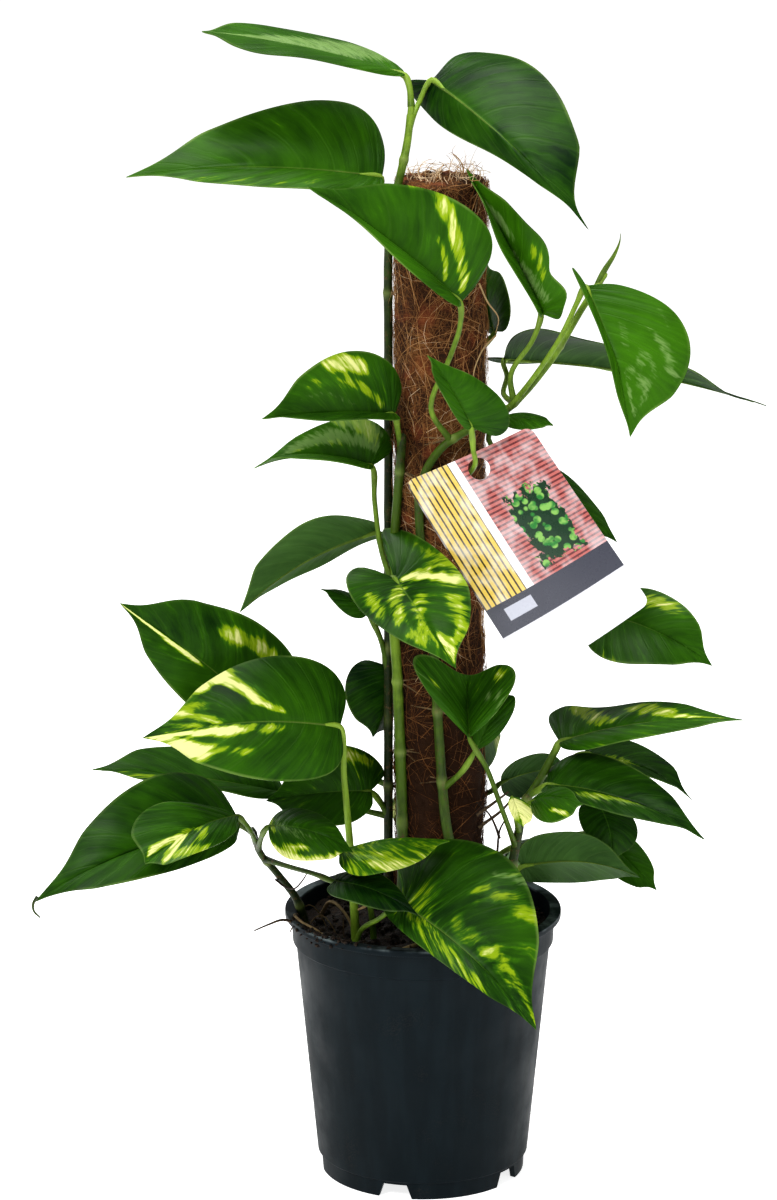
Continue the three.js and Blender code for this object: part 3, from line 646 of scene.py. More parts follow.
def buildVine(node, vine, seed):
    # gives back the places of the stem's rings
    path = vineLine(vine)
    spacing = vineShape["ringSpacing"]
    foot, tip = vine["thick"]
    radii, paints, rings = [], [], []
    travel = 0
    for i, point in enumerate(path):
        travel += (point - path[i - 1]).length / mm if i else 0
        share = i / (len(path) - 1)
        away = abs((travel + seed * 11) % spacing - spacing / 2)
        ring = math.exp(-(away / vineShape["ringWidth"]) ** 2)
        if ring > 0.6 and (not rings or travel - rings[-1][1] > spacing / 2):
            rings.append((point, travel))
        thick = foot + (tip - foot) * share
        radius = vineShape["radius"] * thick * (1 + vineShape["ringSwell"] * ring)
        radius *= 1 + vineShape["grain"] * noise.noise(point * 90)
        if i == len(path) - 1:
            radius *= 0.5  # the last two places round off the tip
        elif share > 0.97:
            radius *= 0.85
        radii.append(radius * mm)
        low, middle, high = vine["fresh"]
        if share < 0.5:
            fresh = low + (middle - low) * share * 2
        else:
            fresh = middle + (high - middle) * (share - 0.5) * 2
        paints.append((ring, fresh, seed / 10))
    bm = newBmesh()
    sweep(bm, path, radii, vineShape["sides"], paints)
    if newLeaf["vine"] == node:
        steps = newLeaf["steps"]
        cone = smoothCurve([place(p) for p in newLeaf["points"]], steps)
        widths = [newLeaf["radius"] * mm * (1 - 0.9 * blend(0.1, 1.0, i / steps))
                  for i in range(steps + 1)]
        sweep(bm, cone, widths, newLeaf["sides"], [(0.0, 0.6, 0.3)] * (steps + 1))
    addPiece("stem" + node.title().replace("_", ""), bm, [stemSkin], [node])
    return [point for point, _ in rings]


vineRings = {node: buildVine(node, vine, 1 + i) for i, (node, vine) in enumerate(vines.items())}
vinePaths = {node: vineLine(vine) for node, vine in vines.items()}
print("vines ready:", len(vines))

bladeShape = {
    "rows": 56,
    "columns": 30,
    "smallBelow": 60,  # blades shorter than this have half the rows and columns
    "thickness": 0.5,
    "quilt": 0.14,
    "ripple": 0.9,
    "warp": 1.3,
    "warpSize": 26,
    "groove": 0.35,
    "gather": 1.15,  # over 1 draws the columns towards the rib
    "veinCurve": 1.45,
    "ribRadius": 0.85,
    "ribSides": 7,
    "ribSteps": 20,
}
stalkShape = {
    "radius": 1.2,
    "sides": 9,
    "stepLength": 2.5,
    "foot": (0.55, 7),  # swell and its reach
    "joint": (11, 4, 0.28),  # how far before the blade, width and swell
    "rootDepth": 108,
}
tailShape = {"radius": 0.8, "sides": 6, "steps": 12}

# where a vein leaves the midrib, where it ends along the blade, how far the basal lobe pulls
# that end back, and how far across it is, as shares of the blade
outline = [
    (0, 0, 0, 0),
    (0.005, 0.03, 1.1, 0.42),
    (0.015, 0.08, 0.9, 0.76),
    (0.05, 0.17, 0.3, 0.96),
    (0.14, 0.33, 0, 1),
    (0.27, 0.52, 0, 0.89),
    (0.46, 0.71, 0, 0.64),
    (0.7, 0.88, 0, 0.3),
    (1, 1, 0, 0),
]

# base is where the stalk meets the blade; left and right are margin points at the widest place,
# seen on the upper face with the tip up; arch lifts the middle, lobe pulls the base back beside
# the stalk, taper slims each half towards the tip, hook bends the tip down, fore leans the veins
# forward, cup hollows the halves and drip narrows the tip; waves hold changes of width: side,
# place, reach and amount; at is where on its vine the stalk starts, via the points it passes;
# cream and sheen hold strokes across the blade, the sheen ones a painted highlight: from side
# and along, to side and along, their width and their strength
leaves = {
    "leaf_top_young": {
        "base": (-9, -4, 530), "tip": (-101, -14, 551), "left": (-38, -24, 536), "right": (-40, 12, 544),
        "arch": 3, "lobe": (0.02, 0.02), "taper": (-1.2, -0.3), "fore": 0.12, "cup": 0.08,
        "vine": "vine_tall", "at": 516, "via": [(-7, -6, 525)], "fleck": 0.05, "stalk": 0.9,
        "paintedSheen": [(0.2, 0.9, 0.2, 0.7, 0.3, 0.85), (0.2, 0.7, 1.0, 0.1, 0.25, 0.8)],
    },
    "leaf_top_right": {
        "base": (3, 8, 526), "tip": (73, -52, 469), "left": (49, 10, 532), "right": (16, -10, 503),
        "arch": 9, "lobe": (0.03, 0.12), "taper": (-0.2, 1.1), "hook": 4, "drip": 0.85,
        "vine": "vine_tall", "at": 507, "via": [(-3, 4, 515)], "tone": 0.22, "fleck": 0.05,
        "stalk": 0.9,
    },
    "leaf_top_left": {
        "base": (-20, -16, 485), "tip": (-134, -46, 491), "left": (-52, -40, 483), "right": (-50, 2, 517),
        "arch": 6, "lobe": (0.03, 0.03), "taper": (0.15, 0.3), "hook": 2, "vine": "vine_tall",
        "at": 456, "via": [(-19, -4, 469), (-20, -12, 478)], "tone": 0.46, "fleck": 0.08,
        "stalk": 0.9,
        "cream": [(-1.0, 0.8, -0.7, 0.55, 0.2, 0.36)],
    },
    "leaf_pole_front": {
        "base": (16, -42, 432), "tip": (-53, -50, 486), "left": (-17, -66, 460), "right": (21, -34, 472),
        "arch": 5, "lobe": (0.1, 0.02), "vine": "vine_front", "at": 364,
        "via": [(3, -30, 380), (12, -38, 407), (16, -41, 421)], "tone": 0.5, "fleck": 0.08,
        "stalk": 0.75,
        "cream": [(0.9, 0.6, 0.5, 0.5, 0.1, 0.66), (0.5, 0.5, 0.2, 0.35, 0.1, 0.66),
                  (0.5, 0.6, 0.1, 0.5, 0.05, 0.62), (1.0, 0.7, 1.0, 0.6, 0.05, 0.5)],
    },
    "leaf_pole_right": {
        "base": (54, -6, 420), "tip": (19, -12, 488), "left": (37, -28, 451), "right": (57, -24, 449),
        "arch": 5, "lobe": (0.1, 0.1), "vine": "vine_front", "at": 379,
        "via": [(40, -14, 393), (50, -10, 408)], "tone": 0.6,
        "cream": [(0.7, 0.6, 0.7, 0.5, 0.15, 0.46), (0.5, 0.9, 0.4, 0.9, 0.1, 0.44)],
        "paintedSheen": [(0.2, 0.95, 0.5, 0.8, 0.15, 0.85), (0.1, 0.7, 0.5, 0.4, 0.15, 0.7)],
        "waves": [(1, 0.42, 0.05, -0.2), (1, 0.3, 0.05, 0.16), (1, 0.56, 0.07, 0.1)],
    },
    "leaf_back_small": {
        "base": (33, 22, 406), "tip": (30, 36, 435), "left": (24, 34, 418), "right": (39, 10, 426),
        "arch": 2, "lobe": (0.12, 0.12), "vine": "vine_back", "at": 396, "via": [(28, 24, 399)],
        "tone": 0.45, "fleck": 0.15,
    },
    "leaf_right_high": {
        "base": (74, -14, 434), "tip": (94, -40, 369), "left": (120, -20, 413), "right": (79, -34, 418),
        "arch": 7, "lobe": (0.05, 0.16), "taper": (0, -0.3), "vine": "vine_front", "at": 378,
        "via": [(49, -17, 390), (62, -18, 410), (70, -14, 426)], "tone": 0.62, "stalk": 0.9,
        "paintedSheen": [(-0.7, 0.6, -0.9, 0.7, 0.05, 0.7), (-0.5, 0.8, -0.7, 0.8, 0.05, 0.6),
                  (-0.3, 0.85, -0.6, 0.9, 0.05, 0.6), (-0.6, 0.55, -0.7, 0.6, 0.05, 0.5),
                  (-0.3, 0.6, -0.3, 0.7, 0.05, 0.5), (-0.8, 0.4, -0.8, 0.5, 0.05, 0.4),
                  (-0.5, 0.7, -0.5, 0.75, 0.05, 0.6), (-0.6, 0.7, -0.7, 0.75, 0.05, 0.55),
                  (-0.8, 0.6, -0.8, 0.7, 0.05, 0.55), (-0.3, 0.8, -0.4, 0.8, 0.05, 0.6),
                  (-0.7, 0.8, -0.8, 0.85, 0.05, 0.6), (-0.6, 0.9, -0.8, 0.9, 0.05, 0.5)],
    },
    "leaf_right_long": {
        "base": (38, 30, 391), "tip": (165, 70, 360), "left": (81, 58, 381), "right": (75, 8, 406),
        "arch": 5, "lobe": (0.1, 0.02), "taper": (1, 1), "drip": 0.75, "vine": "vine_front",
        "at": 379, "via": [(37, 4, 380), (39, 20, 385)], "tone": 0.14, "fleck": 0.12, "stalk": 0.85,
        "cream": [(-1.0, 0.5, -0.9, 0.75, 0.2, 0.5)],
    },
    "leaf_over_tag": {
        "base": (21, -58, 378), "tip": (1, -60, 411), "left": (9, -66, 392), "right": (36, -52, 387),
        "arch": 3, "lobe": (0.1, 0.16), "vine": "vine_front", "at": 336,
        "via": [(17, -31, 347), (23, -44, 357), (22, -53, 366)], "fleck": 0.03,
    },
    "leaf_tag_top": {
        "base": (36, -22, 374), "tip": (59, -34, 373), "left": (48, -16, 375), "right": (45, -42, 373),
        "arch": 2, "lobe": (0.05, 0.05), "vine": "vine_front", "at": 377, "via": [(33, -20, 376)],
        "tone": 0.5, "fleck": 0.2,
    },
    "leaf_left_high": {
        "base": (-14, -28, 377), "tip": (-74, -52, 380),
        "left": (-34, -54, 380), "right": (-33, -30, 407),
        "lobe": (0.1, 0.1), "taper": (0, 0.1), "vine": "vine_left", "at": 358,
        "via": [(-12, -22, 367)], "fleck": 0.14,
        "cream": [(0.9, 0.6, 0.8, 0.5, 0.15, 0.8), (0.6, 0.6, 0.2, 0.45, 0.1, 0.58),
                  (0.8, 0.75, 0.5, 0.6, 0.1, 0.4)],
        "paintedSheen": [(0.7, 0.8, 0.2, 0.65, 0.05, 0.36)],
    },
    "leaf_left_high_low": {
        "base": (-24, -12, 349), "tip": (-78, -24, 353), "left": (-47, -38, 358), "right": (-35, -8, 371),
        "arch": 5, "lobe": (0.08, 0.14), "taper": (0, 0.6), "hook": 3, "vine": "vine_left",
        "at": 290, "via": [(-20, -14, 310), (-23, -13, 333)], "tone": 0.6, "fleck": 0.2,
        "stalk": 0.7,
        "cream": [(1.0, 0.5, 0.7, 0.35, 0.2, 0.62), (0.6, 0.8, 0.5, 0.6, 0.1, 0.5)],
        "paintedSheen": [(0.7, 0.8, 0.7, 0.6, 0.15, 1), (1.0, 0.5, 0.8, 0.35, 0.2, 0.95),
                  (0.6, 0.65, 0.5, 0.3, 0.15, 0.85)],
    },
    "leaf_left_mid": {
        "base": (-22, 6, 313), "tip": (-86, -12, 279), "left": (-54, -14, 322), "right": (-39, 18, 299),
        "arch": 6, "taper": (-0.3, 0), "vine": "vine_tall", "at": 302, "via": [(-20, 5, 307)],
        "tone": 0.56, "stalk": 0.7,
    },
    "leaf_centre": {
        "base": (-14, -53, 306), "tip": (14, -87, 272), "left": (18, -65, 308), "right": (-31, -65, 296),
        "arch": 6, "lobe": (0.7, 0.22), "taper": (0.1, 0), "vine": "vine_left", "at": 282,
        "via": [(-17, -31, 293)], "tone": 0.34, "fleck": 0.2,
        "cream": [(-0.2, 0.4, -0.8, 0.5, 0.1, 1), (0.7, 0.5, 0.8, 0.6, 0.15, 0.6),
                  (0.0, 0.5, 0.6, 0.7, 0.15, 0.62), (-0.3, 0.65, 0.4, 0.85, 0.15, 0.58),
                  (-0.3, 0.9, -0.8, 0.9, 0.15, 0.8), (-1.0, 0.4, -0.9, 0.5, 0.15, 0.55),
                  (-0.8, 0.65, -0.9, 0.8, 0.15, 0.66), (0.8, 0.8, 0.3, 0.9, 0.1, 0.6),
                  (-0.8, 0.3, -0.8, 0.4, 0.1, 0.5)],
    },
    "leaf_centre_behind": {
        "base": (-26, -6, 277), "tip": (-48, -12, 290), "left": (-38, -14, 280), "right": (-32, 2, 283),
        "arch": 2, "lobe": (0.05, 0.05), "taper": (0.5, 0.5), "vine": "vine_tall", "at": 247,
        "via": [(-20, 0, 262), (-24, -3, 272)], "tone": 0.3, "stalk": 0.6,
    },
    "leaf_left_far": {
        "base": (-71, -14, 225), "tip": (-140, -46, 292),
        "left": (-104, -44, 238), "right": (-70, -6, 266),
        "arch": 6, "lobe": (0.04, 0.04), "taper": (-0.1, -0.15), "vine": "vine_tall", "at": 190,
        "via": [(-35, 14, 195), (-56, 4, 211)], "tone": 0.4, "fleck": 0.18, "stalk": 0.75,
        "cream": [(-0.9, 1.0, -0.2, 0.8, 0.1, 1), (0.7, 0.7, 0.8, 0.4, 0.1, 0.64),
                  (0.8, 0.6, 0.8, 0.5, 0.05, 0.6)],
        "waves": [(1, 0.85, 0.06, 0.25)],
    },
    "leaf_left_large": {
        "base": (-39, -50, 234), "tip": (-129, -72, 235),
        "left": (-66, -80, 217), "right": (-66, -34, 264),
        "arch": 10, "taper": (0, 0.15), "vine": "soil", "at": (-31, -26),
        "via": [(-32, -28, 125), (-34, -38, 166), (-37, -48, 208)], "stout": 1.9, "tone": 0.34,
        "fleck": 0.12, "stalk": 0.92,
        "cream": [(1.0, 0.75, 1.0, 0.7, 0.1, 0.95), (0.9, 0.7, 0.4, 0.7, 0.05, 0.9),
                  (0.4, 0.7, 0.2, 0.65, 0.05, 0.7), (-0.8, 1.0, -0.3, 0.8, 0.15, 0.95),
                  (-0.9, 0.9, -0.9, 0.8, 0.15, 0.9), (-0.2, 0.8, -0.2, 0.7, 0.15, 0.58),
                  (0.9, 0.85, -0.2, 0.9, 0.15, 0.58), (-0.8, 0.8, -0.7, 0.7, 0.1, 0.55)],
    },
    "leaf_left_narrow": {
        "base": (-67, -4, 188), "tip": (-155, -32, 208), "left": (-99, -30, 197), "right": (-100, 8, 207),
        "arch": 3, "lobe": (0.04, 0.04), "vine": "vine_tall", "at": 175,
        "via": [(-37, 4, 179), (-56, -2, 185)], "tone": 0.35, "stalk": 0.6,
        "cream": [(-0.9, 0.8, -0.8, 0.65, 0.15, 0.5)],
    },
    "leaf_left_low": {
        "base": (-86, -40, 184), "tip": (-175, -118, 174),
        "left": (-110, -90, 179), "right": (-123, -48, 210),
        "arch": 10, "lobe": (0.02, 0.02), "taper": (-0.4, 0.12), "hook": 4, "vine": "shoot_left",
        "at": 178, "via": [(-83, -40, 182)], "tone": 0.3, "fleck": 0.06, "stalk": 0.3,
        "tail": [(0, 0, 0), (-1.8, -0.5, -3.2), (-1.6, -1, -6.5), (1.2, -1.5, -9.5)],
    },
    "leaf_left_low_small": {
        "base": (-86, -66, 196), "tip": (-126, -120, 190),
        "left": (-95, -108, 195), "right": (-118, -84, 208),
        "arch": 6, "lobe": (0.02, 0.02), "taper": (0, -0.4), "fore": 0.1, "vine": "shoot_left",
        "at": 173, "via": [(-81, -52, 185), (-85, -63, 194)], "tone": 0.36, "fleck": 0.2,
        "stalk": 0.45,
        "cream": [(0.8, 0.9, -0.9, 0.8, 0.1, 0.85), (-0.8, 0.8, -1.0, 0.5, 0.1, 0.6),
                  (0.5, 0.9, -0.7, 0.6, 0.1, 0.52)],
    },
    "leaf_left_inner": {
        "base": (-25, -7, 190), "tip": (-74, -26, 191), "left": (-44, -34, 181), "right": (-42, -6, 212),
        "lobe": (0.08, 0.2), "vine": "vine_tall", "at": 176, "via": [(-20, -1, 182)], "fleck": 0.22,
        "stalk": 0.7,
        "cream": [(0.9, 0.6, 0.8, 0.3, 0.15, 0.72)],
    },
    "leaf_low_left": {
        "base": (-72, -56, 188), "tip": (-33, -68, 179),
        "left": (-56, -44, 193), "right": (-58, -80, 179),
        "arch": 5, "lobe": (0.02, 0.02), "vine": "shoot_left", "at": 168,
        "via": [(-76, -44, 178), (-74, -53, 185)], "fleck": 0.2, "stalk": 0.4,
        "cream": [(-1.0, 0.0, 0.2, 0.35, 0.2, 0.6), (1.0, 0.1, 0.7, 0.6, 0.1, 0.8),
                  (1.0, 0.15, 1.0, 0.8, 0.1, 0.9)],
        "paintedSheen": [(-1.0, 0.0, 0.4, 0.65, 0.2, 0.5)],
    },
    "leaf_low_mid": {
        "base": (-39, -58, 176), "tip": (12, -54, 180), "left": (-21, -44, 176), "right": (-19, -78, 172),
        "arch": 3, "vine": "soil", "at": (-23, -26),
        "via": [(-24, -30, 131), (-27, -40, 154), (-31, -50, 169)], "stout": 1.3, "tone": 0.5,
        "fleck": 0.42, "stalk": 0.6,
        "cream": [(0.8, 0.5, 1.0, 0.6, 0.2, 0.76), (0.1, 0.4, 0.6, 0.6, 0.15, 0.62),
                  (1.0, 0.6, 1.0, 0.8, 0.15, 0.58)],
        "paintedSheen": [(0.3, 0.4, 0.7, 0.55, 0.15, 0.5)],
    },
    "leaf_low_front": {
        "base": (-11, -62, 152), "tip": (51, -106, 106), "left": (38, -50, 171), "right": (0, -86, 138),
        "arch": 12, "lobe": (0.2, 0.08), "vine": "soil", "at": (-32, -38),
        "via": [(-30, -44, 132), (-21, -54, 142)], "tone": 0.34, "fleck": 0.24, "stalk": 0.7,
        "cream": [(-0.6, 0.6, -1.0, 0.7, 0.1, 0.56), (-0.2, 0.7, -0.4, 0.85, 0.15, 0.54),
                  (-0.4, 0.8, -1.0, 0.95, 0.1, 0.56), (-0.1, 0.4, 0.7, 0.6, 0.35, 0.5),
                  (0.7, 0.6, 0.8, 0.7, 0.25, 0.5)],
        "paintedSheen": [(-0.8, 0.55, -1.0, 0.6, 0.05, 0.6)],
    },
    "leaf_low_right": {
        "base": (47, 2, 150), "tip": (103, -16, 150), "left": (69, 20, 136), "right": (65, -10, 171),
        "arch": 6, "vine": "soil", "at": (30, -2), "via": [(33, 0, 131), (41, 2, 143)], "tone": 0.4,
        "fleck": 0.08, "stalk": 0.7,
    },
    "leaf_right_tip": {
        "base": (84, 24, 159), "tip": (112, 4, 137), "left": (103, 20, 156), "right": (90, 10, 144),
        "arch": 3, "vine": "soil", "at": (33, 22), "via": [(36, 25, 135), (61, 28, 154)],
        "tone": 0.4, "stalk": 0.6,
    },
    "leaf_right_hang": {
        "base": (84, 6, 179), "tip": (90, -6, 154), "left": (102, 6, 169), "right": (75, -4, 172),
        "arch": 5, "lobe": (0.1, 0.1), "vine": "shoot_right", "at": 189,
        "via": [(53, -4, 181), (70, 2, 183)], "tone": 0.3, "fleck": 0.06, "stalk": 0.6,
    },
    "leaf_right_upper": {
        "base": (64, -16, 217), "tip": (148, -42, 235), "left": (84, 2, 232), "right": (91, -38, 223),
        "arch": 5, "lobe": (0.04, 0.03), "taper": (0.05, 0), "drip": 0.6, "vine": "shoot_right",
        "at": 209, "via": [(62, -17, 213)], "fleck": 0.22,
        "cream": [(-0.9, 0.4, -0.3, 0.6, 0.15, 0.6), (-0.8, 0.65, -0.3, 0.9, 0.15, 0.64)],
        "waves": [(0, 0.12, 0.12, 0.72), (0, 0.32, 0.1, 0.26), (0, 0.54, 0.14, -0.26),
                  (0, 0.72, 0.12, -0.2)],
    },
    "leaf_right_under": {
        "base": (77, 10, 204), "tip": (128, -10, 188), "left": (101, 20, 206), "right": (95, -6, 201),
        "hook": 2, "drip": 0.9, "vine": "shoot_right", "at": 202, "via": [(66, -2, 202)],
        "tone": 0.3,
        "cream": [(1.0, 0.1, 0.1, 0.65, 0.3, 0.66)],
    },
    "leaf_right_lower": {
        "base": (58, -26, 199), "tip": (130, -58, 182), "left": (88, -20, 210), "right": (79, -56, 197),
        "arch": 7, "taper": (0.15, 0), "vine": "shoot_right", "at": 192, "via": [(55, -23, 196)],
        "tone": 0.28, "fleck": 0.12,
        "cream": [(0.6, 0.5, 0.3, 0.75, 0.15, 0.56)],
        "paintedSheen": [(0.7, 0.5, 0.4, 0.8, 0.15, 0.5)],
    },
    "leaf_right_small": {
        "base": (50, -46, 197), "tip": (73, -68, 202), "left": (61, -50, 205), "right": (60, -76, 196),
        "lobe": (0.1, 0.1), "vine": "shoot_right", "at": 179, "via": [(47, -34, 189)], "tone": 0.4,
        "fleck": 0.15, "stalk": 0.7,
        "cream": [(0.7, 0.6, 0.9, 0.7, 0.1, 0.9)],
    },
    "leaf_pale_tip": {
        "base": (41, -46, 199), "tip": (46, -52, 186), "left": (50, -48, 193), "right": (40, -50, 193),
        "arch": 1, "lobe": (0.05, 0.05), "vine": "shoot_right", "at": 173, "via": [(43, -34, 186)],
        "tone": 0.6, "fleck": 0.3, "stalk": 0.7,
        "cream": [(0.5, 0.5, -0.8, 0.7, 0.75, 0.95)],
    },
    "leaf_butterfly": {
        "base": (21, -44, 227), "tip": (20, -32, 254), "left": (-5, -46, 264), "right": (42, -46, 258),
        "arch": -3, "lobe": (0.04, 0.04), "vine": "shoot_right", "at": 167,
        "via": [(36, -34, 191), (29, -42, 212)], "fleck": 0.22, "stalk": 0.58,
        "cream": [(-0.8, 0.45, -0.7, 0.5, 0.05, 0.85), (0.9, 0.7, 0.8, 0.6, 0.05, 0.8),
                  (0.5, 0.5, 0.5, 0.45, 0.05, 0.75)],
        "paintedSheen": [(-1.0, 0.4, -0.6, 0.5, 0.05, 0.5), (0.5, 0.65, 1.0, 0.15, 0.05, 0.8)],
    },
    "leaf_behind_butterfly": {
        "base": (24, -28, 216), "tip": (39, -24, 244), "left": (26, -24, 236), "right": (41, -30, 234),
        "arch": 2, "vine": "vine_front", "at": 196, "via": [(18, -28, 206)], "tone": 0.4,
        "fleck": 0.15, "stalk": 0.7,
    },
    "leaf_left_dark": {
        "base": (-18, 14, 246), "tip": (-24, 2, 214), "left": (-13, 24, 224), "right": (-37, 4, 237),
        "lobe": (0.1, 0.1), "vine": "vine_tall", "at": 261, "via": [(-18, 11, 253)], "tone": 0.2,
        "fleck": 0.05, "stalk": 0.5,
    },
    "leaf_tag_right": {
        "base": (84, 4, 274), "tip": (135, -16, 254), "left": (113, 4, 284), "right": (91, -28, 259),
        "arch": 6, "lobe": (0.08, 0.08), "taper": (0, 0.5), "vine": "vine_back", "at": 270,
        "via": [(36, 22, 277), (65, 12, 278)], "fleck": 0.16, "stalk": 0.75,
        "cream": [(-0.7, 0.5, -0.8, 0.6, 0.2, 0.7), (1.0, 0.4, 0.9, 0.6, 0.05, 0.5)],
    },
    "leaf_tag_behind": {
        "base": (46, -14, 349), "tip": (89, -30, 317), "left": (68, -8, 342), "right": (56, -24, 330),
        "vine": "vine_front", "at": 374, "via": [(30, -12, 361)], "tone": 0.35, "stalk": 0.6,
    },
    "leaf_mid_behind": {
        "base": (37, 8, 190), "tip": (71, 14, 195), "left": (52, 22, 179), "right": (50, 6, 204),
        "arch": 3, "vine": "vine_back", "at": 175, "via": [(32, 18, 182)], "tone": 0.35,
        "stalk": 0.5,
    },
    "leaf_low_dark": {
        "base": (-41, -62, 163), "tip": (-3, -82, 153), "left": (-24, -58, 166), "right": (-33, -84, 160),
        "lobe": (0.08, 0.08), "vine": "shoot_left", "at": 161,
        "via": [(-63, -40, 163), (-50, -55, 164)], "tone": 0.15, "fleck": 0.05, "stalk": 0.3,
    },
    "leaf_rear_top": {
        "base": (13, 34, 437), "tip": (12, 74, 388), "left": (1, 64, 409), "right": (23, 52, 414),
        "arch": 8, "lobe": (0.08, 0.08), "vine": "vine_back", "at": 420, "via": [(15, 30, 431)],
        "tone": 0.45, "fleck": 0.2,
        "cream": [(-0.8, 0.35, -0.7, 0.7, 0.15, 0.6)],
    },
    "leaf_rear_high": {
        "base": (8, 34, 356), "tip": (-9, 117, 328), "left": (-14, 64, 349), "right": (14, 72, 339),
        "arch": 12, "lobe": (0.1, 0.1), "vine": "vine_back", "at": 339, "via": [(11, 31, 349)],
        "fleck": 0.2,
        "cream": [(1.0, 0.95, 1.0, 0.75, 0.2, 0.8)],
    },
    "leaf_rear_mid": {
        "base": (26, 32, 303), "tip": (36, 82, 254), "left": (19, 70, 270), "right": (43, 54, 281),
        "arch": 9, "lobe": (0.1, 0.1), "vine": "vine_back", "at": 281, "via": [(25, 28, 294)],
        "tone": 0.45, "fleck": 0.22,
        "cream": [(0.1, 0.75, 0.9, 0.65, 0.2, 0.9)],
    },
    "leaf_rear_left": {
        "base": (-1, 36, 262), "tip": (-11, 121, 217), "left": (-18, 74, 242), "right": (8, 80, 235),
        "arch": 13, "lobe": (0.1, 0.1), "vine": "vine_back", "at": 246, "via": [(10, 32, 257)],
        "tone": 0.4, "fleck": 0.15,
        "cream": [(-0.7, 1.0, 1.0, 0.8, 0.15, 0.6)],
    },
    "leaf_rear_right": {
        "base": (29, 36, 212), "tip": (29, 102, 159), "left": (14, 76, 185), "right": (38, 64, 194),
        "arch": 9, "lobe": (0.1, 0.1), "vine": "vine_back", "at": 187, "via": [(28, 30, 202)],
        "fleck": 0.2,
        "cream": [(1.0, 0.5, 1.0, 0.5, 0.3, 0.8)],
    },
    "leaf_rear_low": {
        "base": (4, 40, 186), "tip": (-5, 92, 134), "left": (-15, 80, 157), "right": (12, 70, 162),
        "arch": 10, "lobe": (0.1, 0.1), "vine": "vine_back", "at": 156, "via": [(12, 36, 172)],
        "tone": 0.4, "fleck": 0.22, "stalk": 0.7,
        "cream": [(-0.9, 0.6, 0.0, 0.95, 0.2, 0.9)],
    },
    "leaf_rear_low_right": {
        "base": (44, 40, 148), "tip": (68, 119, 109), "left": (42, 84, 123), "right": (69, 72, 138),
        "arch": 8, "lobe": (0.08, 0.08), "vine": "soil", "at": (23, 26),
        "via": [(27, 30, 132), (36, 36, 144)], "tone": 0.38, "fleck": 0.15, "stalk": 0.7,
        "cream": [(-0.8, 0.3, -1.0, 0.65, 0.15, 0.6)],
    },
}
# what a leaf has where its own row doesn't say otherwise
usualLeaf = {
    "arch": 4, "lobe": (0.06, 0.06), "taper": (0, 0), "hook": 0, "fore": 0, "cup": 0.06,
    "drip": 0.45, "stout": 1, "tone": 0.42, "fleck": 0.1, "stalk": 0.8,
    "cream": [], "paintedSheen": [], "waves": [], "tail": [],
}


def outlineAt(share, drip):
    # the outline's four values at a share of the way from the base to the tip
    travel = share * (len(outline) - 1)
    index = min(int(travel), len(outline) - 2)
    t = travel - index
    rows = [outline[min(max(index + k, 0), len(outline) - 1)] for k in (-1, 0, 1, 2)]
    values = []
    for a, b, c, d in zip(*rows):
        values.append(0.5 * (2 * b + (c - a) * t + (2 * a - 5 * b + 4 * c - d) * t * t
                             + (3 * b - a - 3 * c + d) * t * t * t))
    rib, along, pull, across = values
    across = max(0, across) * (1 - drip * blend(0.72, 0.95, along))
    return rib, along, pull, across


class Blade:
    # a leaf's midrib and halves in space
    def __init__(self, leaf):
        self.leaf = leaf
        self.base = Vector(leaf["base"])
        self.axis = Vector(leaf["tip"]) - self.base
        left, right = Vector(leaf["left"]), Vector(leaf["right"])
        self.up = (right - left).cross(self.axis).normalized()
        widest = self.spine(0.3)
        self.halves = (left - widest, right - widest)

    def spine(self, along):
        bend = self.leaf["arch"] * 4 * along * (1 - along)
        curl = self.leaf["hook"] * (max(0, along - 0.7) / 0.3) ** 2
        return self.base + self.axis * along + self.up * (bend - curl)

    def point(self, side, share, across):
        leaf = self.leaf
        rib, along, pull, out = outlineAt(share, leaf["drip"])
        fore = leaf["fore"] * 4 * along * (1 - along)
        reach = along + fore - pull * leaf["lobe"][side]
        slim = 1 - leaf["taper"][side] * (along - 0.3)
        for waveSide, waveAt, width, amount in leaf["waves"]:
            if waveSide == side:
                slim *= 1 + amount * math.exp(-((share - waveAt) / width) ** 2)
        half = self.halves[side]
        # veins leave the rib sideways and bend towards the tip
        start = self.spine(rib + (reach - rib) * across ** bladeShape["veinCurve"])
        swell = half.cross(self.axis).normalized()
        if swell.dot(self.up) < 0:
            swell = -swell
        cup = leaf["cup"] * half.length * out * 4 * across * (1 - across)
        return start + half * (out * slim * across) + swell * cup


def strokesAt(strokes, amount, side, along):
    # how strongly the strokes colour a place on the blade
    here = Vector((side, along * 2.5))
    for u1, v1, u2, v2, width, strength in strokes:
        start, end = Vector((u1, v1 * 2.5)), Vector((u2, v2 * 2.5))
        line = end - start
        share = 0 if line.length == 0 else min(1, max(0, (here - start).dot(line) / line.dot(line)))
        away = (here - start - line * share).length
        amount = max(amount, strength * (1 - blend(width * 0.4, width * 1.8, away)))
    return amount


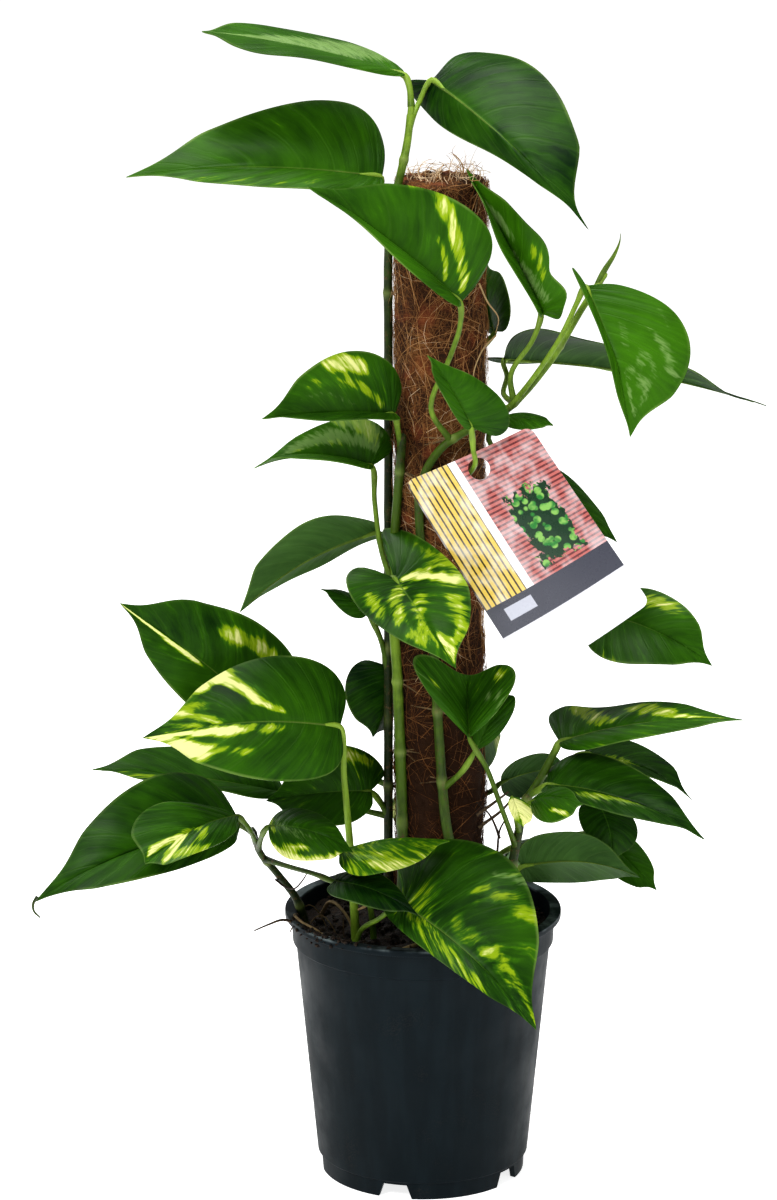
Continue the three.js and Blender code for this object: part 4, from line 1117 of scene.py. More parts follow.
def buildBlade(node, leaf, seed):
    s = bladeShape
    blade = Blade(leaf)
    rows, columns = s["rows"], s["columns"]
    if blade.axis.length < s["smallBelow"]:
        rows, columns = rows // 2, columns // 2 // 2 * 2
    bm = newBmesh()
    layer = bm.verts.layers.float_vector["paint"]
    # the strength of a painted highlight at each place, from the sheen strokes
    paintedSheen = bm.verts.layers.float.new("paintedSheen")
    bm.loops.layers.uv.new("blade")
    bmesh.ops.create_grid(bm, x_segments=columns, y_segments=rows, size=1, calc_uvs=True)
    rng = random.Random(seed)
    wave, waves = rng.uniform(0, 6), rng.uniform(1.5, 2.6)
    drift = Vector((seed * 3.7, 0, 0))
    size = blade.axis.length / 100
    lift = {}
    for vert in bm.verts:
        u, share = vert.co.x, (vert.co.y + 1) / 2
        side, out = (0 if u < 0 else 1), abs(u)
        away = abs((share * leafLook["veins"]) % 1 - 0.5)
        inner = blend(0.04, 0.3, out) * (1 - blend(0.75, 0.98, out))
        rise = s["quilt"] * math.sin(math.pi * away) * inner * size
        rise -= s["groove"] * math.exp(-(u / 0.05) ** 2)
        ripple = math.sin(math.tau * (waves * share + 0.2 * side) + wave)
        rise += s["ripple"] * size * ripple * out ** 3 * blend(0, 0.15, share)
        at = blade.point(side, share, out ** s["gather"])
        rise += s["warp"] * size * noise.noise(at / s["warpSize"] + drift) * blend(0, 0.2, out)
        lift[vert] = rise * (1 - blend(0.85, 1, share))
        cream = strokesAt(leaf["cream"], leaf["fleck"], u, share)
        vert[layer] = (cream, leaf["tone"], seed / 50)
        vert[paintedSheen] = strokesAt(leaf["paintedSheen"], 0, u, share)
        vert.co = place(at)
    bmesh.ops.remove_doubles(bm, verts=bm.verts, dist=1e-6)
    bm.normal_update()
    for vert in bm.verts:
        vert.co += vert.normal * lift.get(vert, 0) * mm
    smoothed(bm)
    solidify = {"thickness": s["thickness"] * mm, "offset": 0, "material_offset": 1,
                "use_even_offset": False}
    skins = [upperLeaf, underLeaf, stemSkin]
    bm = applied(bm, skins, [("SOLIDIFY", solidify)])

    # the rib stands out underneath and thins towards the tip
    steps = s["ribSteps"]
    ribs = [blade.spine(t / steps) - blade.up * (0.55 - 0.2 * t / steps) for t in range(steps)]
    radii = [(1.0 - 0.8 * t / (steps - 1)) * s["ribRadius"] * mm * min(1, size + 0.2)
             for t in range(steps)]
    sweep(bm, [place(p) for p in ribs], radii, s["ribSides"], [(0.15, 0.55, 0.1)] * steps, 2)
    addStalk(bm, leaf, blade, seed)
    if leaf["tail"]:
        steps = tailShape["steps"]
        tail = smoothCurve([place(Vector(leaf["tip"]) + Vector(p)) for p in leaf["tail"]], steps)
        widths = [tailShape["radius"] * mm * (1 - 0.55 * i / steps) for i in range(steps + 1)]
        sweep(bm, tail, widths, tailShape["sides"], [(0.0, 0.2, 0.1)] * (steps + 1), 2)
    addPiece("leaf" + node[5:].title().replace("_", ""), bm, skins, [node], 50)


def addStalk(bm, leaf, blade, seed):
    s = stalkShape
    if leaf["vine"] == "soil":
        foot = place((*leaf["at"], s["rootDepth"]))
    else:
        foot = min(vinePaths[leaf["vine"]], key=lambda p: abs(p.z - leaf["at"] * mm))
    # the last stretch runs under the blade, into its rib
    points = [foot, *[place(p) for p in leaf["via"]],
              place(blade.spine(0) - blade.up * 0.5), place(blade.spine(0.1) - blade.up * 0.7)]
    length = lengthOf(smoothCurve(points, 30)) / mm
    path = smoothCurve(points, max(12, int(length / s["stepLength"])))
    footSwell, footReach = s["foot"]
    jointBack, jointWidth, jointSwell = s["joint"]
    radii, paints = [], []
    travel = 0
    for i, point in enumerate(path):
        travel += (point - path[i - 1]).length / mm if i else 0
        left = length - travel
        joint = math.exp(-((left - jointBack) / jointWidth) ** 2)
        radius = s["radius"] * (1 + footSwell * math.exp(-travel / footReach))
        radius *= 1 + jointSwell * joint
        radius *= 0.55 + 0.45 * blend(-1, 6, left)  # a slim neck under the blade
        radius *= 1 + (leaf["stout"] - 1) * (1 - travel / length)
        radii.append(radius * mm)
        # the stalk value is partly the stalk's age and partly painted shade for stalks in the plant's
        # shadow
        fresh = leaf["stalk"] - 0.3 * math.exp(-travel / 9) + 0.1 * joint
        paints.append((0.35 * joint, fresh, seed / 50))
    sweep(bm, path, radii, s["sides"], paints, 2)


for i, (node, leaf) in enumerate(leaves.items()):
    buildBlade(node, {**usualLeaf, **leaf}, i + 1)
print("leaves ready:", len(leaves))

potShape = {
    "lipRadius": lipRadius / mm,
    "height": potHeight / mm,
    "lipThickness": 3.2,
    "collarRadius": 62.4,
    "collarHeight": 15,
    "collarStep": 1.6,
    "bodyFootRadius": 50.6,
    "wall": 1.6,
    "footRadius": 48.8,
    "footRing": 2.8,
    "footHeight": 8,
    "edgeRound": 0.45,
    "notches": 5,
    "notchWidth": (17, 11.5),  # at the floor and above
    "notchHeight": 7,
    "notchDepth": 14,
    "notchTurn": 56,  # degrees to the first one; a drain goes with each
    "drainRadius": 5,
    "drainCircle": 34,
    "drainDepth": 8,
    "segments": 144,
}
# the lip colour is a painted highlight on the lip's top edge
plasticLook = {"body": srgb(8, 20, 25), "wearAndGlint": srgb(24, 38, 44), "lip": srgb(102, 112, 114),
               "dust": srgb(66, 58, 50)}


def plasticMaterial():
    material, tree, shader = newMaterial("potPlastic", Specular_IOR_Level=0.11)
    here = objectPlace(tree)
    height = parts(tree, here)[2]
    flow = noiseOf(tree, stretched(tree, here, 1.0, 1.0, 0.12), 160.0, 3.0)
    smear = noiseOf(tree, here, 45.0, 4.0, 0.6)
    speck = noiseOf(tree, here, 1400.0)
    # a painted highlight in patches along the top of the lip, broken up like wear; the flow marks are the
    # plastic's own colour
    lip = step(tree, height, potHeight - 1.6 * mm, potHeight - 0.3 * mm)
    wearAndGlint = times(tree, step(tree, smear, 0.42, 0.6), lip)
    colour = mixed(tree, step(tree, flow, 0.35, 0.65, 0.0, 0.22), plasticLook["body"],
                   plasticLook["wearAndGlint"])
    colour = mixed(tree, times(tree, wearAndGlint, 0.8), colour, plasticLook["lip"])
    dusty = times(tree, step(tree, smear, 0.52, 0.75), step(tree, speck, 0.45, 0.6))
    dusty = times(tree, dusty, plus(tree, step(tree, height, 22 * mm, 0.0), 0.5, 0.12))
    colour = mixed(tree, dusty, colour, plasticLook["dust"])
    setSurface(tree, shader, colour, step(tree, smear, 0.3, 0.7, 0.46, 0.62),
               plus(tree, speck, 0.25, flow), 0.00012, 0.5)
    return material


def buildPot():
    s = potShape
    collarBottom = s["height"] - s["collarHeight"]
    wallTop = s["collarRadius"] - s["collarStep"]
    lipBottom = s["height"] - s["lipThickness"]
    ringInside = s["footRadius"] - s["footRing"]
    inside = s["collarRadius"] - s["wall"]
    floorTop = s["footHeight"] + s["wall"]
    profile = [
        (0, s["footHeight"]),
        (ringInside, s["footHeight"]),
        (ringInside, 0),
        (s["footRadius"], 0),
        (s["footRadius"] + 0.3, s["footHeight"]),
        (s["bodyFootRadius"], s["footHeight"] + 1),
        (wallTop, collarBottom - 1),
        (s["collarRadius"], collarBottom),
        (s["collarRadius"] + 0.4, lipBottom),
        (s["lipRadius"] - 0.4, lipBottom),
        (s["lipRadius"], lipBottom + 0.4),
        (s["lipRadius"], s["height"]),
        (inside, s["height"]),
        (inside - 0.2, collarBottom),
        (wallTop - s["wall"], collarBottom - 1.6),
        (s["bodyFootRadius"] - s["wall"], floorTop),
        (0, floorTop),
    ]
    axis = place((0, 0, 0))
    bm = newBmesh()
    turned(bm, [place((radius, 0, height)) for radius, height in profile], axis, s["segments"])
    bmesh.ops.recalc_face_normals(bm, faces=bm.faces)
    rims = [e for e in bm.edges if len(e.link_faces) == 2 and e.calc_face_angle(0) > 0.35]
    bmesh.ops.bevel(bm, geom=rims, offset=s["edgeRound"] * mm, segments=3, profile=0.5,
                    affect="EDGES", material=-1, clamp_overlap=True)

    cutters = bmesh.new()
    wide, narrow = s["notchWidth"]
    for i in range(s["notches"]):
        turn = Matrix.Rotation(math.radians(s["notchTurn"] + 360 * i / s["notches"]), 4, "Z")
        spot = Matrix.Translation(axis) @ turn
        notch = bmesh.ops.create_cube(cutters, size=1)["verts"]
        for vert in notch:
            # wide on the floor and narrower above
            vert.co.x *= (wide if vert.co.z < 0 else narrow) * mm
            vert.co.y = (vert.co.y * s["notchDepth"] - s["footRadius"]) * mm
            vert.co.z = -mm if vert.co.z < 0 else s["notchHeight"] * mm
        bmesh.ops.transform(cutters, matrix=spot, verts=notch)
        drain = Matrix.Translation((0, -s["drainCircle"] * mm, s["footHeight"] * mm))
        bmesh.ops.create_cone(cutters, cap_ends=True, segments=28, radius1=s["drainRadius"] * mm,
                              radius2=s["drainRadius"] * mm, depth=s["drainDepth"] * mm,
                              matrix=spot @ drain)
    bm = cut(bm, [], [], cutters)
    smoothed(bm)
    addPiece("nurseryPot", bm, [plasticMaterial()], ["pot"], 28)


buildPot()
print("pot ready")

soilShape = {
    "edge": 121,
    "crown": 125,
    "crownSlope": (18, 52),  # radii between which it falls
    "radius": 60.2,
    "shoulder": (0.6, 112),  # inset at the wall, and its height
    "wallBottom": 10,
    "footRadius": 48.2,
    "rings": 30,
    "segments": 110,
    "lumps": 2.2,
    "lumpsAbove": 115,  # the buried part stays plain
    "crumbs": 620,
    "crumbSize": (0.5, 2.1),
    "spilled": 300,
    "spillSize": 0.7,
    "spillReach": (54, 66.6),  # radii, from inside the wall to past the lip
    "spillTurn": (223, 12),  # middle and spread in degrees
    "spillInside": (61, 126),  # under this radius they lie at this height
    "spillOutside": 65.8,  # past this radius they hang below the lip
}
soilLook = {"dark": srgb(15, 10, 8), "light": srgb(56, 41, 30), "fibre": srgb(120, 92, 62)}


def soilMaterial():
    material, tree, shader = newMaterial("peatSoil", Specular_IOR_Level=0.3)
    here = objectPlace(tree)
    lumps = noiseOf(tree, here, 260.0, 6.0, 0.7)
    grit = noiseOf(tree, here, 1300.0, 3.0, 0.6)
    threads = cells(tree, stretched(tree, here, 1.0, 0.35, 1.0), 420.0, "DISTANCE_TO_EDGE")
    colour = mixed(tree, step(tree, lumps, 0.35, 0.72), soilLook["dark"], soilLook["light"])
    thread = times(tree, step(tree, threads, 0.04, 0.0), step(tree, grit, 0.5, 0.62))
    colour = mixed(tree, times(tree, thread, 0.6), colour, soilLook["fibre"])
    setSurface(tree, shader, colour, step(tree, grit, 0.35, 0.65, 0.62, 0.96),
               plus(tree, grit, 0.5, lumps), 0.0014, 0.9)
    return material


def soilHeight(radius):
    # millimetres, level at the wall and raised round the pole
    edge, crown = soilShape["edge"], soilShape["crown"]
    return edge + (crown - edge) * (1 - blend(*soilShape["crownSlope"], radius))


def buildSoil():
    s = soilShape
    peat = soilMaterial()
    radii = [s["radius"] * i / s["rings"] for i in range(s["rings"] + 1)]
    profile = [(radius, soilHeight(radius)) for radius in radii]
    inset, shoulder = s["shoulder"]
    profile += [(s["radius"] - inset, shoulder), (s["footRadius"], s["wallBottom"]),
                (0, s["wallBottom"])]
    bm = newBmesh()
    turned(bm, [place((radius, 0, height)) for radius, height in profile], place((0, 0, 0)),
           s["segments"])
    bmesh.ops.recalc_face_normals(bm, faces=bm.faces)
    for vert in bm.verts:
        if vert.co.z >= s["lumpsAbove"] * mm:
            vert.co.z += noise.fractal(vert.co * 120, 1.0, 2.0, 4) * s["lumps"] * mm
    smoothed(bm)
    addPiece("soilBed", bm, [peat], ["soil"], 180)

    # loose crumbs on the bed, and some spilled inside, on and over the lip at the front left
    rng = random.Random(5)
    noise.seed_set(5)  # without a seed, noise_vector differs from run to run
    bm = newBmesh()
    insideReach, insideHeight = s["spillInside"]
    for i in range(s["crumbs"] + s["spilled"]):
        spilled = i >= s["crumbs"]
        if not spilled:
            radius, angle = s["radius"] * math.sqrt(rng.random()), rng.uniform(0, math.tau)
            height = soilHeight(radius) + rng.uniform(-0.4, 1.2)
        else:
            radius, angle = rng.uniform(*s["spillReach"]), math.radians(rng.gauss(*s["spillTurn"]))
            height = potShape["height"] + rng.uniform(-0.2, 1.2)
            if radius < insideReach:
                height = insideHeight + rng.uniform(-4, 3)
            elif radius > s["spillOutside"]:
                height -= rng.uniform(0.5, 5)
        at = (radius * math.cos(angle), radius * math.sin(angle), height)
        size = rng.uniform(*s["crumbSize"]) * (s["spillSize"] if spilled else 1)
        squash = Matrix.Diagonal((1, rng.uniform(0.6, 1), rng.uniform(0.45, 0.9), 1))
        turn = Matrix.Rotation(rng.uniform(0, math.tau), 4, (rng.random(), rng.random(), 1))
        made = bmesh.ops.create_icosphere(bm, subdivisions=1, radius=size * mm,
                                          matrix=Matrix.Translation(place(at)) @ turn @ squash)
        for vert in made["verts"]:
            vert.co += noise.noise_vector(vert.co * 900) * size * 0.35 * mm
    addPiece("soilCrumbs", bm, [peat], [], 60)


buildSoil()
print("soil ready")

coirShape = {
    "bottom": 100,
    "shadeTop": 300,
    "shadeLow": 190,  # painted shade darkens the coir from the height above down to here
    "segments": 100,
    "rings": 190,
    "inset": 0.7,
    "matting": 1.7,
    "top": [(0.94, 1.2), (0.8, 0.2), (0.6, 0.3), (0.4, 1.2), (0, 2)],  # share of radius, drop
    "strandsFrom": 118,
    "short": {"count": 5200, "length": (7, 26), "radius": (0.05, 0.14), "rise": (0, 1.2),
              "hug": (-0.2, 0.9), "shade": (0.44, 0.22)},
    "long": {"count": 420, "length": (22, 52), "radius": (0.1, 0.19), "rise": (0, 1.2),
             "hug": (0.2, 1.0), "shade": (0.75, 0.2)},
    "fuzz": {"count": 1900, "length": (4, 13), "radius": (0.04, 0.09), "rise": (1.6, 4.2),
             "hug": 0.3, "shade": (0.55, 0.2)},
    "frayed": {"count": 110, "length": (5, 16), "radius": (0.14, 0.26), "shade": (1.05, 0.25)},
}
coirLook = {"deep": srgb(50, 30, 16), "brown": srgb(124, 82, 46), "tan": srgb(182, 138, 90),
            "pale": srgb(226, 200, 166), "rust": srgb(152, 78, 48)}


def coirToneGroup():
    # turns a fibre's shade into its colour: clumped, rusty in patches and darker near the soil with
    # painted shade
    tree, source, result = newGroup(
        "coirTone", {"Object": "Vector", "Shade": "Float", "Clumping": "Float"},
        {"Colour": "Color", "Clump": "Float"})
    here = source["Object"]
    clump = noiseOf(tree, stretched(tree, here, 1.0, 1.0, 0.45), 70.0, 4.0, 0.6)
    rust = step(tree, noiseOf(tree, here, 75.0), 0.5, 0.72, 0.0, 0.45)
    # painted shade, low on the pole near the soil
    lowShade = step(tree, parts(tree, here)[2], coirShape["shadeTop"] * mm,
                coirShape["shadeLow"] * mm, 0.0, 0.5)
    shade = varied(tree, clump, source["Clumping"], source["Shade"])
    shade = calc(tree, "SUBTRACT", shade, lowShade)
    colour = mixed(tree, step(tree, shade, 0.0, 0.38), coirLook["deep"], coirLook["brown"])
    colour = mixed(tree, times(tree, rust, step(tree, lowShade, 0.4, 0.0)), colour, coirLook["rust"])
    colour = mixed(tree, step(tree, shade, 0.4, 0.8), colour, coirLook["tan"])
    colour = mixed(tree, step(tree, shade, 0.85, 1.0), colour, coirLook["pale"])
    tree.links.new(colour, result["Colour"])
    tree.links.new(clump, result["Clump"])
    return tree


coirTone = coirToneGroup()


def coirMaterial(name, clumping, shadeAndRelief, relief):
    # shadeAndRelief gives a fibre's shade and its height from the tree and the place
    material, tree, shader = newMaterial(name, Specular_IOR_Level=0.2)
    here = objectPlace(tree)
    shade, height = shadeAndRelief(tree, here)
    tone = useGroup(tree, coirTone, {"Object": here, "Shade": shade, "Clumping": clumping})
    setSurface(tree, shader, tone["Colour"], step(tree, tone["Clump"], 0.3, 0.7, 0.8, 0.98),
               height, relief, 0.9)
    return material


def paintedShade(tree, here):
    # each loose strand has its own shade in its paint
    return parts(tree, paintOf(tree))[0], noiseOf(tree, here, 2500.0)


def mattedShade(tree, here):
    # hairs that run two ways, for the matting under the loose strands; the low places between
    # the hairs are painted darker, as shade
    hair = noiseOf(tree, stretched(tree, here, 1.0, 1.0, 0.25), 900.0, 4.0, 0.7, 0.6)
    hairTwo = noiseOf(tree, stretched(tree, here, 0.3, 0.6, 1.0), 800.0, 4.0, 0.7, 0.8)
    height = calc(tree, "MAXIMUM", hair, hairTwo)
    return step(tree, height, 0.45, 0.78, 0.02, 0.55), height


coirMatting = coirMaterial("coirMatting", 1.0, mattedShade, 0.0008)
coirStrands = coirMaterial("coirStrand", 1.1, paintedShade, 0.0001)


def poleSurface(angle, height, lift):
    # a point round the pole, with the matting's own swell
    swell = noise.noise(Vector((math.cos(angle), math.sin(angle), height / 34)) * 1.6)
    reach = poleRadius - coirShape["inset"] * mm + (swell * coirShape["matting"] + lift) * mm
    return Vector((poleX + reach * math.cos(angle), poleY + reach * math.sin(angle), height * mm))


def buildPole():
    s = coirShape
    top = poleTop / mm
    heights = [s["bottom"] + (top - 3 - s["bottom"]) * i / s["rings"]
               for i in range(s["rings"] + 1)]
    line = [(poleX + poleRadius, poleY, height * mm) for height in heights]
    line += [(poleX + poleRadius * share, poleY, (top - drop) * mm) for share, drop in s["top"]]
    bm = newBmesh()
    turned(bm, line, (poleX, poleY, 0), s["segments"])
    bmesh.ops.contextual_create(bm, geom=[e for e in bm.edges if e.is_boundary])
    bmesh.ops.recalc_face_normals(bm, faces=bm.faces)
    for vert in bm.verts:
        x, y = vert.co.x - poleX, vert.co.y - poleY
        rough = noise.fractal(vert.co * 330, 1.0, 2.0, 3) * 0.5
        if math.hypot(x, y) > poleRadius * 0.97:
            vert.co = poleSurface(math.atan2(y, x), vert.co.z / mm, rough)
        else:
            vert.co.z += (rough * 2 - 0.6) * mm
    smoothed(bm)
    addPiece("coirPole", bm, [coirMatting], ["coir_sleeve"], 180)


def strandMesh(name, strands, depth):
    # strands is a list of (points, radius, shade)
    curve = bpy.data.curves.new(name, "CURVE")
    curve.dimensions = "3D"
    curve.bevel_depth = depth
    curve.bevel_resolution = 0
    curve.resolution_u = 1
    curve.use_fill_caps = True
    for points, radius, _ in strands:
        spline = curve.splines.new("POLY")
        spline.points.add(len(points) - 1)
        for i, point in enumerate(points):
            spline.points[i].co = (*point, 1)
            spline.points[i].radius = radius * (1 - 0.6 * i / (len(points) - 1)) / depth
    return evaluated(newObject(name, curve))


def addStrands(name, strands):
    # turns the curves into one mesh, with each strand's shade in its paint
    bm = strandMesh(name, strands, 0.1 * mm)
    layer = bm.verts.layers.float_vector.new("paint")
    bm.verts.ensure_lookup_table()
    start = 0
    for points, _, shade in strands:
        # four corners at each point, and four more in each end's cap
        end = start + len(points) * 4 + 8
        for vert in bm.verts[start:end]:
            vert[layer] = (shade, 0, 0)
        start = end
    smoothed(bm)
    addPiece(name, bm, [coirStrands], [], 60)


def strandRound(rng, length, steps, rise, hug, lean=1.0):
    # a strand that wanders over the pole, lying down or standing off at its end
    top = poleTop / mm
    angle, height = rng.uniform(0, math.tau), rng.uniform(coirShape["strandsFrom"], top - 1)
    lean, curl = rng.gauss(0, lean), rng.gauss(0, 0.7)
    points = []
    for k in range(steps + 1):
        t = k / steps
        turn = lean + curl * t
        goUp = height + length * t * math.cos(turn)
        goRound = angle + length * t * math.sin(turn) / 21
        lift = hug + (rise * math.sin(math.pi * t) if rise < 1.5 else rise * t * t)
        over = max(0, goUp - top + 1)
        points.append(poleSurface(goRound, goUp - 2 * over, lift))
    return points


def frayedStrand(length, lean, bend, angle, out):
    # stands up from the pole's top, curls and falls over
    length *= 1 + 0.3 * out * math.cos(angle)
    start = Vector((poleX + out * poleRadius * math.cos(angle),
                    poleY + out * poleRadius * math.sin(angle), poleTop - 2.5 * mm))
    points = []
    for k in range(8):
        t = k / 7
        turn = angle + bend * t * 2.4
        away = Vector((math.cos(turn), math.sin(turn), 0)) * length * t * lean * 0.7 * mm
        rise = length * (t - 0.62 * lean * t * t) * mm
        points.append(start + away + Vector((0, 0, rise)))
    return points


def buildStrands():
    rng = random.Random(11)
    strands = []
    s = coirShape["short"]
    for _ in range(s["count"]):
        points = strandRound(rng, rng.uniform(*s["length"]), 3, rng.uniform(*s["rise"]),
                             rng.uniform(*s["hug"]))
        shade = min(1, max(0.05, rng.gauss(*s["shade"])))
        strands.append((points, rng.uniform(*s["radius"]) * mm, shade))
    s = coirShape["long"]
    for _ in range(s["count"]):
        points = strandRound(rng, rng.uniform(*s["length"]), 6, rng.uniform(*s["rise"]),
                             rng.uniform(*s["hug"]), 0.6)
        strands.append((points, rng.uniform(*s["radius"]) * mm, rng.gauss(*s["shade"])))
    addStrands("coirStrands", strands)

    strands = []
    s = coirShape["fuzz"]
    for _ in range(s["count"]):
        points = strandRound(rng, rng.uniform(*s["length"]), 4, rng.uniform(*s["rise"]), s["hug"])
        radius = rng.uniform(*s["radius"]) * mm
        strands.append((points, radius, min(1, rng.gauss(*s["shade"]))))
    s = coirShape["frayed"]
    for _ in range(s["count"]):
        angle, out = rng.uniform(0, math.tau), math.sqrt(rng.random())
        length, lean, bend = rng.uniform(*s["length"]), rng.uniform(0.2, 1), rng.gauss(0, 1.5)
        points = frayedStrand(length, lean, bend, angle, out)
        strands.append((points, rng.uniform(*s["radius"]) * mm, rng.gauss(*s["shade"])))
    addStrands("coirFuzz", strands)


buildPole()
buildStrands()
print("pole ready")

stakeLook = {"pale": srgb(202, 166, 112), "grain": srgb(150, 108, 62)}


def stakeMaterial():
    material, tree, shader = newMaterial("stakeTimber", Specular_IOR_Level=0.3)
    here = objectPlace(tree)
    grain = noiseOf(tree, stretched(tree, here, 1.0, 1.0, 0.06), 700.0, 4.0, 0.6, 0.4)
    pores = noiseOf(tree, stretched(tree, here, 1.0, 1.0, 0.03), 2600.0)
    colour = mixed(tree, step(tree, grain, 0.4, 0.62), stakeLook["pale"], stakeLook["grain"])
    setSurface(tree, shader, colour, step(tree, pores, 0.3, 0.7, 0.6, 0.85),
               plus(tree, pores, 0.4, grain), 0.0003, 0.6)
    return material


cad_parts["stake"].material_slots[0].material = stakeMaterial()

rootShape = {
    "vines": ("vine_left", "vine_front", "vine_tall", "vine_back"),
    "lowest": 130,
    "farthest": 4,  # a ring farther off the coir has no roots
    "atRings": 3,
    "length": (5, 13),
    "radius": 0.55,
    "thin": 26,
    "thinFrom": 119,
    "thinReach": (26, 50),
    "thinLength": (10, 24),
    "thinRise": (3, 14),
    "thinRadius": 0.32,
    "sides": 5,
}
# dry twigs, old stalks and pale strings: radius, paleness and points
looseBits = [
    (0.85, 0.0, [(33, -18, 118), (34, -18, 152), (35, -18, 164), (36, -18, 174), (39, -18, 180)]),
    (0.7, 0.0, [(36, -18, 170), (34, -18, 176), (31, -18, 182), (25, -18, 188)]),
    (0.9, 0.1, [(25, -20, 182), (35, -18, 189), (40, -18, 193)]),
    (0.9, 0.1, [(26, -20, 176), (37, -18, 184), (42, -18, 190)]),
    (0.75, 0.1, [(-60, -18, 128), (-67, -24, 131.5), (-73, -26, 130), (-80, -28, 127.5)]),
    (0.6, 0.0, [(-70, -13, 148), (-66, -20, 147), (-61, -30, 149), (-57, -40, 156),
                (-54, -50, 164)]),
    (0.9, 0.45, [(-60, -6, 128), (-61, -16, 131), (-57, -28, 131.5), (-50, -38, 131),
                 (-42, -42, 126)]),
    (1.1, 0.5, [(-50, 10, 120), (-44, -4, 134), (-36, -18, 131), (-32, -26, 122)]),
    (1.0, 0.95, [(-25, -35, 144), (-28, -36, 142), (-31, -36, 140.5)]),
    (1.3, 0.55, [(-38, -40, 124), (-50, -33, 127), (-58, -22, 129), (-60, -10, 128)]),
    (1.1, 0.7, [(-14, -50, 124), (2, -44, 128), (16, -40, 131), (26, -38, 130)]),
    (0.5, 1.0, [(25, -17, 436), (29, -16, 427), (34, -12, 419), (33, -8, 411)]),
    (0.45, 1.0, [(33, -9, 410), (27, -16, 405), (23, -19, 396), (22, -20, 387)]),
]


def buildRoots():
    s = rootShape
    rng = random.Random(23)
    bm = newBmesh()
    # short aerial roots at the vines' rings grip the coir
    for at in [at for node in s["vines"] for at in vineRings[node]]:
        reach = math.hypot(at.x - poleX, at.y - poleY)
        if at.z < s["lowest"] * mm or at.z > poleTop or reach > poleRadius + s["farthest"] * mm:
            continue
        for _ in range(s["atRings"]):
            inward = Vector((poleX - at.x, poleY - at.y, 0)).normalized()
            sideways = Vector((-inward.y, inward.x, 0)) * rng.choice((-1, 1))
            length = rng.uniform(*s["length"]) * mm
            drop = Vector((0, 0, rng.uniform(-0.6, 0.3)))
            points = []
            for k in range(6):
                t = k / 5
                guess = at + sideways * length * t + inward * length * 0.5 * t * t
                guess += drop * length * t
                angle = math.atan2(guess.y - poleY, guess.x - poleX)
                on = poleSurface(angle, guess.z / mm, 2.2 - 1.7 * blend(0, 0.6, t))
                points.append(on if t > 0.25 else at.lerp(on, t * 4))
            radii = [s["radius"] * mm * (1 - 0.6 * k / 5) for k in range(6)]
            sweep(bm, points, radii, s["sides"], [(rng.uniform(0.15, 0.6), 0, 0)] * 6)
    # fine dark roots between the stems, just over the soil
    for _ in range(s["thin"]):
        angle, radius = rng.uniform(0, math.tau), rng.uniform(*s["thinReach"])
        start = Vector((radius * math.cos(angle), radius * math.sin(angle), s["thinFrom"]))
        away = Vector((rng.gauss(0, 1), rng.gauss(0, 1), 0)).normalized()
        length, rise = rng.uniform(*s["thinLength"]), rng.uniform(*s["thinRise"])
        points = [place(start + away * length * t + Vector((0, 0, rise * math.sin(math.pi * t))))
                  for t in [k / 8 for k in range(9)]]
        sweep(bm, points, [s["thinRadius"] * mm] * 9, s["sides"], [(rng.uniform(0, 0.35), 0, 0)] * 9)
    for radius, pale, points in looseBits:
        path = smoothCurve([place(p) for p in points], 16)
        radii = [radius * mm * (1 - 0.55 * i / 16) for i in range(17)]
        sweep(bm, path, radii, 6, [(pale, 0, 0)] * 17)
    addPiece("looseRoots", bm, [rootSkin], [], 60)


buildRoots()
print("roots ready")

cardShape = {
    "topLeft": (-9, -36, 347),
    "topRight": (48, -44, 375),
    "bottomRight": (103, -60, 296),
    "bottomLeft": (49, -50, 256),
    "bow": 3,
    "thickness": 0.5,
    "holeAcross": 0.52,
    "holeDown": 0.075,
    "holeRadius": 5,
    "cornerAcross": 0.12,
    "cornerDown": 0.08,
    "columns": 40,
    "rows": 60,
}
cardLook = {
    "white": srgb(244, 243, 246), "brick": srgb(186, 104, 98), "mortar": srgb(104, 50, 52),
    "ochre": srgb(222, 192, 92), "umber": srgb(62, 48, 34), "slate": srgb(62, 64, 76),
    "mist": srgb(186, 188, 200), "leafy": srgb(44, 124, 52), "deepLeafy": srgb(24, 58, 34),
    "lightLeafy": srgb(132, 182, 92), "back": srgb(238, 238, 240), "backScuff": srgb(206, 204, 200),
}
# places on the print as shares of its width and height, from the lower left
cardPrint = {
    "courses": 46.0,
    "slats": 24.0,
    "split": 0.34,
    "post": (0.34, 0.40),
    "hedge": (0.7, 0.58, 0.17),  # middle across and up, and half size
    "sill": (0.22, 0.36),
    "panelUp": (0.27, 0.33),
    "panelAcross": (0.12, 0.34),
    "lower": 0.22,
    "fog": (0.205, 0.22),
}


def cardPoint(across, down):
    s = cardShape
    top = Vector(s["topLeft"]).lerp(Vector(s["topRight"]), across)
    bottom = Vector(s["bottomLeft"]).lerp(Vector(s["bottomRight"]), across)
    at = top.lerp(bottom, down)
    at.y -= s["bow"] * (math.sin(math.pi * across) + math.sin(math.pi * down))
    return at


def roundedCorner(x, y):
    # pulls the square's corners in to rounds; x and y run from -1 to 1
    wide, tall = cardShape["cornerAcross"], cardShape["cornerDown"]
    overX, overY = (abs(x) - 1 + wide) / wide, (abs(y) - 1 + tall) / tall
    if overX > 0 and overY > 0:
        pull = max(overX, overY) / math.hypot(overX, overY)
        x = math.copysign(1 - wide + wide * overX * pull, x)
        y = math.copysign(1 - tall + tall * overY * pull, y)
    return (x + 1) / 2, (1 - y) / 2


def below(tree, value, limit):
    return calc(tree, "LESS_THAN", value, limit)


